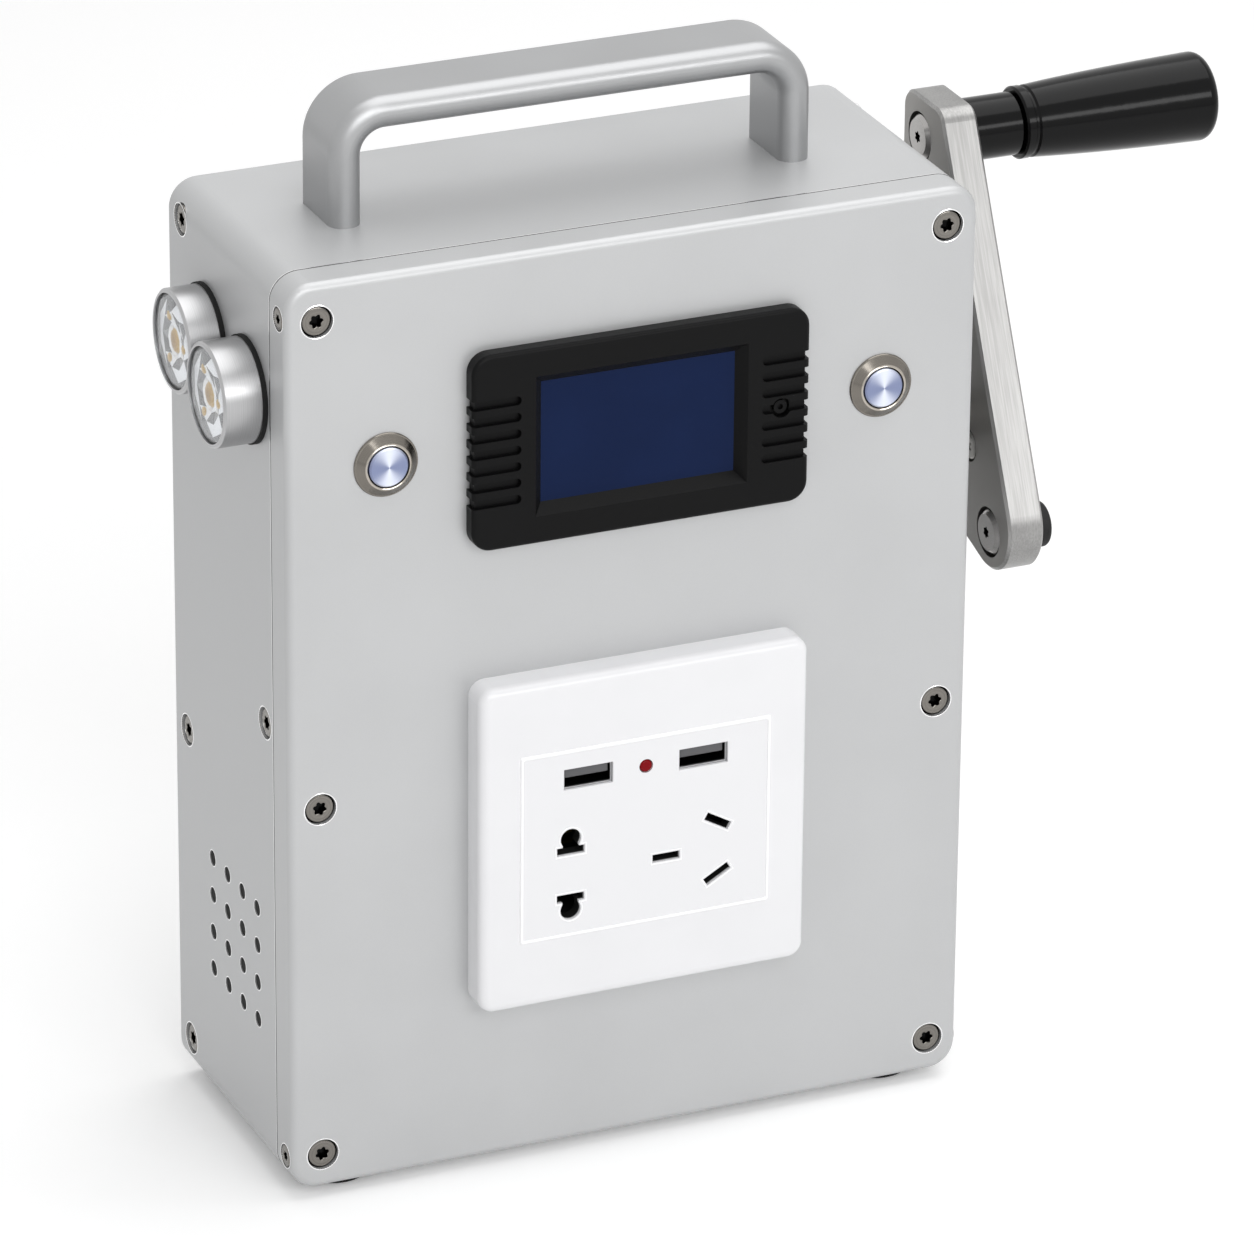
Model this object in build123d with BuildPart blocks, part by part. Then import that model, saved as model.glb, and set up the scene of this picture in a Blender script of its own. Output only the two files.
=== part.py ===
"""Hand crank generator in an aluminium case, built as separate pieces.

Frame: +X to the right as the front is seen, -Y out of the front, +Z up. The origin lies on the
floor, under the middle of the case. Millimetres and degrees throughout.
"""

import math
import os

from build123d import *

os.makedirs("parts", exist_ok=True)

# ---- Driving dimensions -------------------------------------------------------------------------

# Case
CASE_W = 178.0
CASE_H = 236.0
CASE_D = 76.0
WALL = 3.0
CASE_R = 7.0
RIM_R = 2.0
COVER_D = 10.0
SEAM_GAP = 0.3
FOOT_H = 3.0

# Front panel, heights above the case's bottom
SCREW_X = 81.0
SCREW_HEIGHTS = (9.0, 101.5, 226.5)
METER_HEIGHT = 188.0
METER_W = 87.0
METER_H = 50.0
METER_PROUD = 4.0
SOCKET_HEIGHT = 85.5
SOCKET_SIZE = 86.0
SOCKET_PROUD = 8.0
BUTTON_X = 64.0
BUTTON_HEIGHT = 188.0

# Left side, distances behind the front and heights above the case's bottom
LAMP_PLACES = {"front": (24.3, 201.8), "rear": (51.1, 205.1)}
LAMP_PROUD = {"front": 10.75, "rear": 9.25}
LAMP_D = 25.6
VENT_DEPTH = 37.0
VENT_HEIGHT = 52.0
VENT_PITCH = 10.0
VENT_D = 4.0
SIDE_SCREW_DEPTH = 68.5
SIDE_SCREW_HEIGHTS = (10.0, 94.5, 228.5)
MID_SCREW_DEPTH = 15.4
MID_SCREW_HEIGHT = 119.0
FLANGE_SCREW_DEPTH = 4.5
FLANGE_SCREW_HEIGHTS = (8.0, 226.8)

# Carry handle
HANDLE_X = -3.0
HANDLE_SPAN = 116.0
HANDLE_DEPTH = 40.0
HANDLE_T = 8.0
HANDLE_W = 20.4
HANDLE_RISE = 31.0
HANDLE_BEND_R = 14.0

# Crank, distances behind the front and heights above the case's bottom
HUB = (40.0, 158.0)
GRIP_AXIS = (58.0, 226.0)
NOSE = (14.3, 140.3)
NOSE_BOLT = (14.0, 137.8)
NOSE_R = 12.0
LOBE_R = 21.5
ARM_GAP = 12.0
ARM_T = 9.5
ARM_TOP = 236.5
ARM_TOP_FRONT = 46.6
ARM_BACK = 67.5
ARM_BACK_LOW = 205.0
ARM_CORNER_R = 5.0
SHAFT_R = 6.0
HUB_SCREW_PCD = 28.0
HUB_SCREW_ANGLE = 187.0

# Grip, distances out from the arm's outer face
COLLAR_R = 7.9
COLLAR_L = 15.5
GRIP_START_R = 9.1
GRIP_END_R = 11.2
GRIP_L = 52.3
GRIP_GAP = 0.4
SPINDLE_R = 4.0

# Gear train
MODULE = 1.0
DRIVE_TEETH = 48
IDLER_SMALL_TEETH = 12
IDLER_LARGE_TEETH = 40
ROTOR_TEETH = 10
IDLER_OFFSET = 8.0
ROTOR_OFFSET = 2.0
PRESSURE_ANGLE = math.radians(25.0)
BACKLASH = 0.16

# Fits, as radial clearances
RUNNING = 0.05
LOOSE = 0.1

# ---- Derived places -----------------------------------------------------------------------------

FRONT = -CASE_D / 2
BACK = CASE_D / 2
SEAM = FRONT + COVER_D
PANEL_BACK = FRONT + WALL
LEFT = -CASE_W / 2
RIGHT = CASE_W / 2
BOTTOM = FOOT_H
TOP = FOOT_H + CASE_H
MID_Z = FOOT_H + CASE_H / 2
ARM_IN = RIGHT + ARM_GAP
ARM_OUT = ARM_IN + ARM_T
METER_Z = METER_HEIGHT + FOOT_H
SOCKET_Z = SOCKET_HEIGHT + FOOT_H
BUTTON_Z = BUTTON_HEIGHT + FOOT_H


def side_point(place):
    """Turn a (distance behind the front, height above the case's bottom) pair into (y, z)."""
    return (FRONT + place[0], place[1] + FOOT_H)


HUB_YZ = side_point(HUB)
GRIP_YZ = side_point(GRIP_AXIS)
NOSE_YZ = side_point(NOSE)
NOSE_BOLT_YZ = side_point(NOSE_BOLT)
LAMP_YZ = {lamp: side_point(place) for lamp, place in LAMP_PLACES.items()}
FAN_YZ = side_point((VENT_DEPTH, VENT_HEIGHT))


def pitch_radius(teeth):
    """Pitch radius of a gear."""
    return MODULE * teeth / 2


def gear_below(centre, distance, offset):
    """Centre of the next gear of the train, lower by what the centre distance leaves."""
    return (centre[0] + offset, centre[1] - math.sqrt(distance**2 - offset**2))


IDLER_YZ = gear_below(
    HUB_YZ, pitch_radius(DRIVE_TEETH) + pitch_radius(IDLER_SMALL_TEETH), IDLER_OFFSET
)
ROTOR_YZ = gear_below(
    IDLER_YZ, pitch_radius(IDLER_LARGE_TEETH) + pitch_radius(ROTOR_TEETH), ROTOR_OFFSET
)


# ---- Helpers ------------------------------------------------------------------------------------


def finish(builder, name):
    """Label a finished piece and write it to its own file."""
    builder.part.label = name
    export_step(builder.part, f"parts/{name}.step")


def at_y(y):
    """A plane facing the front at the given depth: sketches on it use (x, z)."""
    return Plane.XZ.offset(-y)


def at_x(x):
    """A plane facing right at the given place: sketches on it use (y, z)."""
    return Plane.YZ.offset(x)


def at_z(z):
    """A plane facing up at the given height: sketches on it use (x, y)."""
    return Plane.XY.offset(z)


def facing(point, outward):
    """The place of a screw or button whose head looks along outward."""
    return Plane(origin=point, z_dir=outward)


def six_lobes(lobe_r):
    """Sketch a six-lobed drive opening at the sketch's current places."""
    Circle(lobe_r * 0.74)
    with PolarLocations(lobe_r * 0.74, 6):
        Circle(lobe_r * 0.26)


def lobed_screw(head_r, head_h, shank_r, length, lobe_r):
    """A screw with a six-lobed recess: its head's top is at z = 0 and its shank runs down."""
    with BuildPart() as piece:
        with BuildSketch(at_z(-head_h)):
            Circle(head_r)
        extrude(amount=head_h)
        chamfer(piece.faces().sort_by(Axis.Z)[-1].edges(), head_h * 0.25)
        with BuildSketch(at_z(-head_h)):
            Circle(shank_r)
        extrude(amount=-length)
        with BuildSketch():
            six_lobes(lobe_r)
        extrude(amount=-head_h * 0.62, mode=Mode.SUBTRACT)
    return piece.part


def gear_outline(teeth, phase):
    """Points round an involute gear that has one tooth centred at the angle phase."""
    pitch_r = pitch_radius(teeth)
    base_r = pitch_r * math.cos(PRESSURE_ANGLE)
    tip_r = pitch_r + 0.8 * MODULE
    root_r = pitch_r - 1.1 * MODULE
    half = math.pi / (2 * teeth) - BACKLASH / (2 * pitch_r)
    involute_at_pitch = math.tan(PRESSURE_ANGLE) - PRESSURE_ANGLE
    flank_steps = 4
    flank = []
    for step in range(flank_steps + 1):
        radius = max(base_r, root_r) + (tip_r - max(base_r, root_r)) * step / flank_steps
        angle = math.acos(min(1.0, base_r / radius))
        flank.append((radius, half + involute_at_pitch - (math.tan(angle) - angle)))
    if root_r < base_r:
        flank.insert(0, (root_r, flank[0][1]))
    points = []
    for tooth in range(teeth):
        centre = phase + 2 * math.pi * tooth / teeth
        points += [(r * math.cos(centre - a), r * math.sin(centre - a)) for r, a in flank]
        points += [(r * math.cos(centre + a), r * math.sin(centre + a)) for r, a in reversed(flank)]
    return points


def gear(x, centre, teeth, phase, width):
    """A solid spur gear with its near face at x."""
    plane = Plane(origin=(x, *centre), x_dir=(0, 1, 0), z_dir=(1, 0, 0))
    with BuildPart() as piece:
        with BuildSketch(plane):
            with BuildLine():
                Polyline(*gear_outline(teeth, phase), close=True)
            make_face()
        extrude(amount=width)
    return piece.part


def direction(start, end):
    """Angle of the line from start to end in the side view, in radians."""
    return math.atan2(end[1] - start[1], end[0] - start[0])


# ---- Case ---------------------------------------------------------------------------------------

HEAD_R = 3.6
HEAD_H = 1.6
RECESS_R = 4.0
RECESS_H = 1.8
SHANK_R = 1.75
SMALL_HEAD_R = 2.7
SMALL_RECESS_R = 3.0
SMALL_RECESS_H = 1.0
CORNER_CUT = WALL + 1.0
HANDLE_BOLT_R = 2.5
FOOT_X = 73.0
FOOT_Y = 24.0
FOOT_R = 9.0
FOOT_SCREW_R = 1.5
LAMP_NECK_R = 9.8
SHAFT_HOLE_R = 8.0
HANDLE_Y = FRONT + HANDLE_DEPTH
HANDLE_FEET = [(HANDLE_X - HANDLE_SPAN / 2, HANDLE_Y), (HANDLE_X + HANDLE_SPAN / 2, HANDLE_Y)]
FOOT_PLACES = [(x, y) for x in (-FOOT_X, FOOT_X) for y in (-FOOT_Y, FOOT_Y)]
SIDE_SCREW_YZ = [side_point((SIDE_SCREW_DEPTH, h)) for h in SIDE_SCREW_HEIGHTS]
SIDE_SCREW_YZ.append(side_point((MID_SCREW_DEPTH, MID_SCREW_HEIGHT)))
FLANGE_SCREW_YZ = [side_point((FLANGE_SCREW_DEPTH, h)) for h in FLANGE_SCREW_HEIGHTS]
FRONT_SCREW_XZ = [(x, h + FOOT_H) for x in (-SCREW_X, SCREW_X) for h in SCREW_HEIGHTS]
PILLAR_YZ = [(-22.0, 179.5), (28.0, 179.5), (-21.0, 139.0), (28.5, 112.5), (-8.0, 112.5)]

with BuildPart() as casing_sleeve:
    with BuildSketch(at_y(BACK)):
        with Locations((0, MID_Z)):
            RectangleRounded(CASE_W, CASE_H, CASE_R)
            RectangleRounded(CASE_W - 2 * WALL, CASE_H - 2 * WALL, CASE_R - WALL, mode=Mode.SUBTRACT)
    extrude(amount=BACK - SEAM - SEAM_GAP / 2)
    # Left wall: lamp holes and the vent grid
    with BuildSketch(at_x(LEFT)):
        with Locations(*LAMP_YZ.values()):
            Circle(LAMP_NECK_R + LOOSE)
        with Locations(FAN_YZ):
            with GridLocations(VENT_PITCH, VENT_PITCH, 4, 4):
                Circle(VENT_D / 2)
    extrude(amount=WALL, mode=Mode.SUBTRACT)
    # Screw holes in both side walls
    for wall_face, inward in ((LEFT, 1), (RIGHT, -1)):
        with BuildSketch(at_x(wall_face)):
            with Locations(*SIDE_SCREW_YZ):
                Circle(SHANK_R + LOOSE)
        extrude(amount=inward * CORNER_CUT, mode=Mode.SUBTRACT)
        with BuildSketch(at_x(wall_face)):
            with Locations(*SIDE_SCREW_YZ):
                Circle(RECESS_R)
        extrude(amount=inward * RECESS_H, mode=Mode.SUBTRACT)
    # Right wall: the crank shaft's hole and the gearbox screws' recesses
    with BuildSketch(at_x(RIGHT)):
        with Locations(HUB_YZ):
            Circle(SHAFT_HOLE_R)
        with Locations(*PILLAR_YZ):
            Circle(SHANK_R + LOOSE)
    extrude(amount=-WALL, mode=Mode.SUBTRACT)
    with BuildSketch(at_x(RIGHT)):
        with Locations(*PILLAR_YZ):
            Circle(RECESS_R)
    extrude(amount=-RECESS_H, mode=Mode.SUBTRACT)
    # Handle bolts through the top, foot screws through the bottom
    with BuildSketch(at_z(TOP)):
        with Locations(*HANDLE_FEET):
            Circle(HANDLE_BOLT_R + LOOSE)
    extrude(amount=-WALL, mode=Mode.SUBTRACT)
    with BuildSketch(at_z(BOTTOM)):
        with Locations(*FOOT_PLACES):
            Circle(FOOT_SCREW_R + LOOSE)
    extrude(amount=WALL, mode=Mode.SUBTRACT)
finish(casing_sleeve, "casing_sleeve")

METER_CUT = (80.6, 43.6)
SOCKET_CUT = 71.0
BUTTON_NECK_R = 6.0
FLANGE_END = SEAM - SEAM_GAP / 2

with BuildPart() as front_cover:
    with BuildSketch(at_y(FLANGE_END)):
        with Locations((0, MID_Z)):
            RectangleRounded(CASE_W, CASE_H, CASE_R)
    extrude(amount=FLANGE_END - FRONT)
    fillet(front_cover.faces().sort_by(Axis.Y)[0].edges(), RIM_R)
    with BuildSketch(at_y(FLANGE_END)):
        with Locations((0, MID_Z)):
            RectangleRounded(CASE_W - 2 * WALL, CASE_H - 2 * WALL, CASE_R - WALL)
    extrude(amount=FLANGE_END - PANEL_BACK, mode=Mode.SUBTRACT)
    with BuildSketch(at_y(PANEL_BACK)):
        with Locations((0, METER_Z)):
            Rectangle(*METER_CUT)
        with Locations((0, SOCKET_Z)):
            Rectangle(SOCKET_CUT, SOCKET_CUT)
        with Locations((-BUTTON_X, BUTTON_Z), (BUTTON_X, BUTTON_Z)):
            Circle(BUTTON_NECK_R + LOOSE)
        with Locations(*FRONT_SCREW_XZ):
            Circle(SHANK_R + LOOSE)
    extrude(amount=WALL, mode=Mode.SUBTRACT)
    with BuildSketch(at_y(FRONT)):
        with Locations(*FRONT_SCREW_XZ):
            Circle(RECESS_R)
    extrude(amount=-RECESS_H, mode=Mode.SUBTRACT)
    for wall_face, inward in ((LEFT, 1), (RIGHT, -1)):
        with BuildSketch(at_x(wall_face)):
            with Locations(*FLANGE_SCREW_YZ):
                Circle(FOOT_SCREW_R + LOOSE)
        extrude(amount=inward * CORNER_CUT, mode=Mode.SUBTRACT)
        with BuildSketch(at_x(wall_face)):
            with Locations(*FLANGE_SCREW_YZ):
                Circle(SMALL_RECESS_R)
        extrude(amount=inward * SMALL_RECESS_H, mode=Mode.SUBTRACT)
finish(front_cover, "front_cover")

REAR_FIT = 0.2
REAR_SCREW_X = 77.6
REAR_SCREW_XZ = [(x, h + FOOT_H) for x in (-REAR_SCREW_X, REAR_SCREW_X) for h in SIDE_SCREW_HEIGHTS]
STANDOFF_H = 6.0
BOARD_X = -34.0
BOARD_Z = 156.0
BOARD_W = 72.0
BOARD_H = 116.0
BOARD_HOLE_PITCH = (64.0, 108.0)

with BuildPart() as rear_panel:
    with BuildSketch(at_y(BACK)):
        with Locations((0, MID_Z)):
            RectangleRounded(
                CASE_W - 2 * WALL - 2 * REAR_FIT, CASE_H - 2 * WALL - 2 * REAR_FIT, CASE_R - WALL
            )
    extrude(amount=WALL)
    # Four pressed studs hold the control board
    with BuildSketch(at_y(BACK - WALL)):
        with Locations((BOARD_X, BOARD_Z)):
            with GridLocations(*BOARD_HOLE_PITCH, 2, 2):
                Circle(3.0)
    extrude(amount=STANDOFF_H)
    with BuildSketch(at_y(BACK)):
        with Locations(*REAR_SCREW_XZ):
            Circle(SHANK_R + LOOSE)
    extrude(amount=WALL, mode=Mode.SUBTRACT)
    with BuildSketch(at_y(BACK)):
        with Locations(*REAR_SCREW_XZ):
            Circle(RECESS_R)
    extrude(amount=RECESS_H, mode=Mode.SUBTRACT)
finish(rear_panel, "rear_panel")

BLOCK_W = 11.0
BLOCK_H = 11.5
BLOCK_D = 14.0
FRONT_BLOCK_D = 16.0
MID_BLOCK_H = 32.0
BLOCK_X = RIGHT - WALL - BLOCK_W / 2
BLOCK_LOW_Z = BOTTOM + WALL + BLOCK_H / 2
BLOCK_HIGH_Z = TOP - WALL - BLOCK_H / 2
FRONT_MID_Z = SCREW_HEIGHTS[1] + FOOT_H + MID_BLOCK_H / 2 - BLOCK_H / 2

with BuildPart() as front_blocks:
    for block_x in (-BLOCK_X, BLOCK_X):
        with BuildSketch(at_y(PANEL_BACK + FRONT_BLOCK_D)):
            with Locations((block_x, BLOCK_LOW_Z), (block_x, BLOCK_HIGH_Z)):
                RectangleRounded(BLOCK_W, BLOCK_H, CASE_R - WALL + 0.1)
            with Locations((block_x, FRONT_MID_Z)):
                Rectangle(BLOCK_W, MID_BLOCK_H)
        extrude(amount=FRONT_BLOCK_D)
    with BuildSketch(at_y(PANEL_BACK)):
        with Locations(*FRONT_SCREW_XZ):
            Circle(SHANK_R)
    extrude(amount=-FRONT_BLOCK_D, mode=Mode.SUBTRACT)
    for wall_face, inward in ((LEFT + WALL, 1), (RIGHT - WALL, -1)):
        with BuildSketch(at_x(wall_face)):
            with Locations(*FLANGE_SCREW_YZ):
                Circle(FOOT_SCREW_R)
        extrude(amount=inward * 2.0, mode=Mode.SUBTRACT)
        with BuildSketch(at_x(wall_face)):
            with Locations(SIDE_SCREW_YZ[-1]):
                Circle(SHANK_R)
        extrude(amount=inward * 5.0, mode=Mode.SUBTRACT)
finish(front_blocks, "front_blocks")

with BuildPart() as rear_blocks:
    for block_x in (-BLOCK_X, BLOCK_X):
        with BuildSketch(at_y(BACK - WALL)):
            with Locations((block_x, BLOCK_LOW_Z), (block_x, BLOCK_HIGH_Z)):
                RectangleRounded(BLOCK_W, BLOCK_H, CASE_R - WALL + 0.1)
            with Locations((block_x, SIDE_SCREW_YZ[1][1])):
                Rectangle(BLOCK_W, BLOCK_H)
        extrude(amount=BLOCK_D)
    with BuildSketch(at_y(BACK - WALL)):
        with Locations(*REAR_SCREW_XZ):
            Circle(SHANK_R)
    extrude(amount=10.0, mode=Mode.SUBTRACT)
    for wall_face, inward in ((LEFT + WALL, 1), (RIGHT - WALL, -1)):
        with BuildSketch(at_x(wall_face)):
            with Locations(*SIDE_SCREW_YZ[:3]):
                Circle(SHANK_R)
        extrude(amount=inward * 5.0, mode=Mode.SUBTRACT)
finish(rear_blocks, "rear_blocks")

# ---- Case fasteners and feet --------------------------------------------------------------------

TORX_R = 1.7
SINK = 0.2

front_screw = lobed_screw(HEAD_R, HEAD_H, SHANK_R, 10.0, TORX_R)
side_screw = lobed_screw(HEAD_R, HEAD_H, SHANK_R, 4.6, TORX_R)
rear_screw = lobed_screw(HEAD_R, HEAD_H, SHANK_R, 8.0, TORX_R)
flange_screw = lobed_screw(SMALL_HEAD_R, SMALL_RECESS_H, FOOT_SCREW_R, 3.6, 1.3)

with BuildPart() as front_cover_screws:
    with Locations(*[facing((x, FRONT + SINK, z), (0, -1, 0)) for x, z in FRONT_SCREW_XZ]):
        add(front_screw)
finish(front_cover_screws, "front_cover_screws")

with BuildPart() as rear_panel_screws:
    with Locations(*[facing((x, BACK - SINK, z), (0, 1, 0)) for x, z in REAR_SCREW_XZ]):
        add(rear_screw)
finish(rear_panel_screws, "rear_panel_screws")

with BuildPart() as side_screws:
    with Locations(*[facing((LEFT + SINK, *yz), (-1, 0, 0)) for yz in SIDE_SCREW_YZ]):
        add(side_screw)
    with Locations(*[facing((RIGHT - SINK, *yz), (1, 0, 0)) for yz in SIDE_SCREW_YZ]):
        add(side_screw)
finish(side_screws, "side_screws")

with BuildPart() as cover_flange_screws:
    with Locations(*[facing((LEFT, *yz), (-1, 0, 0)) for yz in FLANGE_SCREW_YZ]):
        add(flange_screw)
    with Locations(*[facing((RIGHT, *yz), (1, 0, 0)) for yz in FLANGE_SCREW_YZ]):
        add(flange_screw)
finish(cover_flange_screws, "cover_flange_screws")

FOOT_RECESS = 1.6

with BuildPart() as rubber_feet:
    with BuildSketch():
        with Locations(*FOOT_PLACES):
            Circle(FOOT_R)
    extrude(amount=FOOT_H)
    chamfer(rubber_feet.faces().group_by(Axis.Z)[0].edges(), 0.6)
    with BuildSketch():
        with Locations(*FOOT_PLACES):
            Circle(FOOT_SCREW_R + LOOSE)
    extrude(amount=FOOT_H, mode=Mode.SUBTRACT)
    with BuildSketch():
        with Locations(*FOOT_PLACES):
            Circle(3.2)
    extrude(amount=FOOT_RECESS, mode=Mode.SUBTRACT)
finish(rubber_feet, "rubber_feet")

foot_screw = lobed_screw(2.8, 1.2, FOOT_SCREW_R, 6.0, 1.2)

with BuildPart() as foot_screws:
    with Locations(*[facing((x, y, FOOT_RECESS - 1.2), (0, 0, -1)) for x, y in FOOT_PLACES]):
        add(foot_screw)
finish(foot_screws, "foot_screws")

# ---- Carry handle -------------------------------------------------------------------------------

HANDLE_TOP = TOP + HANDLE_RISE
HANDLE_LENGTH = HANDLE_SPAN + HANDLE_T
HANDLE_MID_Z = (TOP + HANDLE_TOP) / 2

with BuildPart() as carry_handle:
    with BuildSketch(at_y(HANDLE_Y + HANDLE_W / 2)):
        with Locations((HANDLE_X, HANDLE_MID_Z)):
            Rectangle(HANDLE_LENGTH, HANDLE_RISE)
        with Locations((HANDLE_X, HANDLE_MID_Z - HANDLE_T / 2)):
            Rectangle(HANDLE_LENGTH - 2 * HANDLE_T, HANDLE_RISE - HANDLE_T, mode=Mode.SUBTRACT)
    extrude(amount=HANDLE_W)
    upright = carry_handle.edges().filter_by(Axis.Y)
    fillet(upright.filter_by(lambda e: e.center().Z > HANDLE_TOP - 1), HANDLE_BEND_R)
    inner = carry_handle.edges().filter_by(Axis.Y)
    fillet(
        inner.filter_by(lambda e: abs(e.center().Z - (HANDLE_TOP - HANDLE_T)) < 0.5),
        HANDLE_BEND_R - HANDLE_T,
    )
    # The front of the section is fully rounded, the back has only broken edges
    front_edges = carry_handle.faces().sort_by(Axis.Y)[0].edges()
    fillet(front_edges.filter_by(lambda e: e.center().Z > TOP + 0.5), HANDLE_T / 2 - 0.05)
    back_edges = carry_handle.faces().sort_by(Axis.Y)[-1].edges()
    fillet(back_edges.filter_by(lambda e: e.center().Z > TOP + 0.5), 1.0)
    with BuildSketch(at_z(TOP)):
        with Locations(*HANDLE_FEET):
            Circle(HANDLE_BOLT_R)
    extrude(amount=12.0, mode=Mode.SUBTRACT)
finish(carry_handle, "carry_handle")

handle_bolt = lobed_screw(4.5, 3.0, HANDLE_BOLT_R, WALL + 10.0, 2.4)

with BuildPart() as handle_bolts:
    with Locations(*[facing((x, y, TOP - WALL - 3.0), (0, 0, -1)) for x, y in HANDLE_FEET]):
        add(handle_bolt)
finish(handle_bolts, "handle_bolts")

# ---- Lamps on the left wall ---------------------------------------------------------------------

GASKET_T = 1.2
GASKET_R = LAMP_D / 2 + 0.4
CUP_R = 11.7
CUP_D = 7.6
LAMP_NECK_END = LEFT + 15.0
LENS_SINK = 0.4
LENS_R = CUP_R - 0.1
BOARD_T = 1.6
NUT_T = 3.0

for lamp_name, lamp_yz in LAMP_YZ.items():
    lamp_face = LEFT - LAMP_PROUD[lamp_name]
    cup_floor = lamp_face + CUP_D
    with BuildPart() as lamp_barrel:
        with BuildSketch(at_x(lamp_face)):
            with Locations(lamp_yz):
                Circle(LAMP_D / 2)
        extrude(amount=LAMP_PROUD[lamp_name] - GASKET_T)
        chamfer(lamp_barrel.faces().sort_by(Axis.X)[0].edges(), 0.5)
        with BuildSketch(at_x(LEFT - GASKET_T)):
            with Locations(lamp_yz):
                Circle(LAMP_NECK_R)
        extrude(amount=LAMP_NECK_END - LEFT + GASKET_T)
        with BuildSketch(at_x(lamp_face)):
            with Locations(lamp_yz):
                Circle(CUP_R)
        extrude(amount=CUP_D, mode=Mode.SUBTRACT)
        with BuildSketch(at_x(cup_floor)):
            with Locations(lamp_yz):
                Circle(5.0)
        extrude(amount=LAMP_NECK_END - cup_floor, mode=Mode.SUBTRACT)
    finish(lamp_barrel, f"lamp_{lamp_name}_barrel")

    lens_origin = (lamp_face + LENS_SINK, *lamp_yz)
    with BuildPart() as lamp_lens:
        with BuildSketch(Plane(origin=lens_origin, x_dir=(1, 0, 0), z_dir=(0, 0, 1))):
            with BuildLine():
                Polyline(
                    (0, 0), (0.5, 8.6), (0, 9.6), (0, LENS_R), (1.2, LENS_R), (5.6, 5.0),
                    (5.6, 4.2), (3.2, 3.6), (3.0, 0), close=True,
                )
            make_face()
        revolve(axis=Axis(lens_origin, (1, 0, 0)))
    finish(lamp_lens, f"lamp_{lamp_name}_lens")

with BuildPart() as lamp_gaskets:
    with BuildSketch(at_x(LEFT - GASKET_T)):
        with Locations(*LAMP_YZ.values()):
            Circle(GASKET_R)
            Circle(LAMP_NECK_R + LOOSE, mode=Mode.SUBTRACT)
    extrude(amount=GASKET_T)
finish(lamp_gaskets, "lamp_gaskets")

with BuildPart() as lamp_led_boards:
    for lamp_name, lamp_yz in LAMP_YZ.items():
        board_back = LEFT - LAMP_PROUD[lamp_name] + CUP_D
        with BuildSketch(at_x(board_back - BOARD_T)):
            with Locations(lamp_yz):
                Circle(10.0)
        extrude(amount=BOARD_T)
        with BuildSketch(at_x(board_back - BOARD_T - 0.6)):
            with Locations(lamp_yz):
                Rectangle(5.0, 5.0)
        extrude(amount=0.6)
finish(lamp_led_boards, "lamp_led_boards")

with BuildPart() as panel_nuts:
    with BuildSketch(at_x(LEFT + WALL)):
        with Locations(*LAMP_YZ.values()):
            RegularPolygon(13.0, 6)
            Circle(LAMP_NECK_R, mode=Mode.SUBTRACT)
    extrude(amount=NUT_T)
    with BuildSketch(at_y(PANEL_BACK + NUT_T)):
        with Locations((-BUTTON_X, BUTTON_Z), (BUTTON_X, BUTTON_Z)):
            RegularPolygon(8.6, 6)
            Circle(BUTTON_NECK_R, mode=Mode.SUBTRACT)
    extrude(amount=NUT_T)
finish(panel_nuts, "panel_nuts")

# ---- Meter --------------------------------------------------------------------------------------

METER_FACE = FRONT - METER_PROUD
METER_BODY = (80.0, 43.0)
METER_SHELL = 1.6
METER_BODY_END = PANEL_BACK + 15.0
METER_END = METER_BODY_END + 6.0
WINDOW = (54.8, 35.8)
SCREEN_VIEW = (50.0, 30.8)
SCREEN_FACE = METER_FACE + 2.8
SCREEN_BODY = (60.0, 39.0)
SCREEN_T = 4.0
GROOVES = 7
GROOVE_PITCH = 4.2
GROOVE_W = 2.3
GROOVE_L = 12.4
GROOVE_D = 1.2
NOTCH = 0.8
METER_SCREW_X = 36.2
METER_SCREW_R = 1.7

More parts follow.
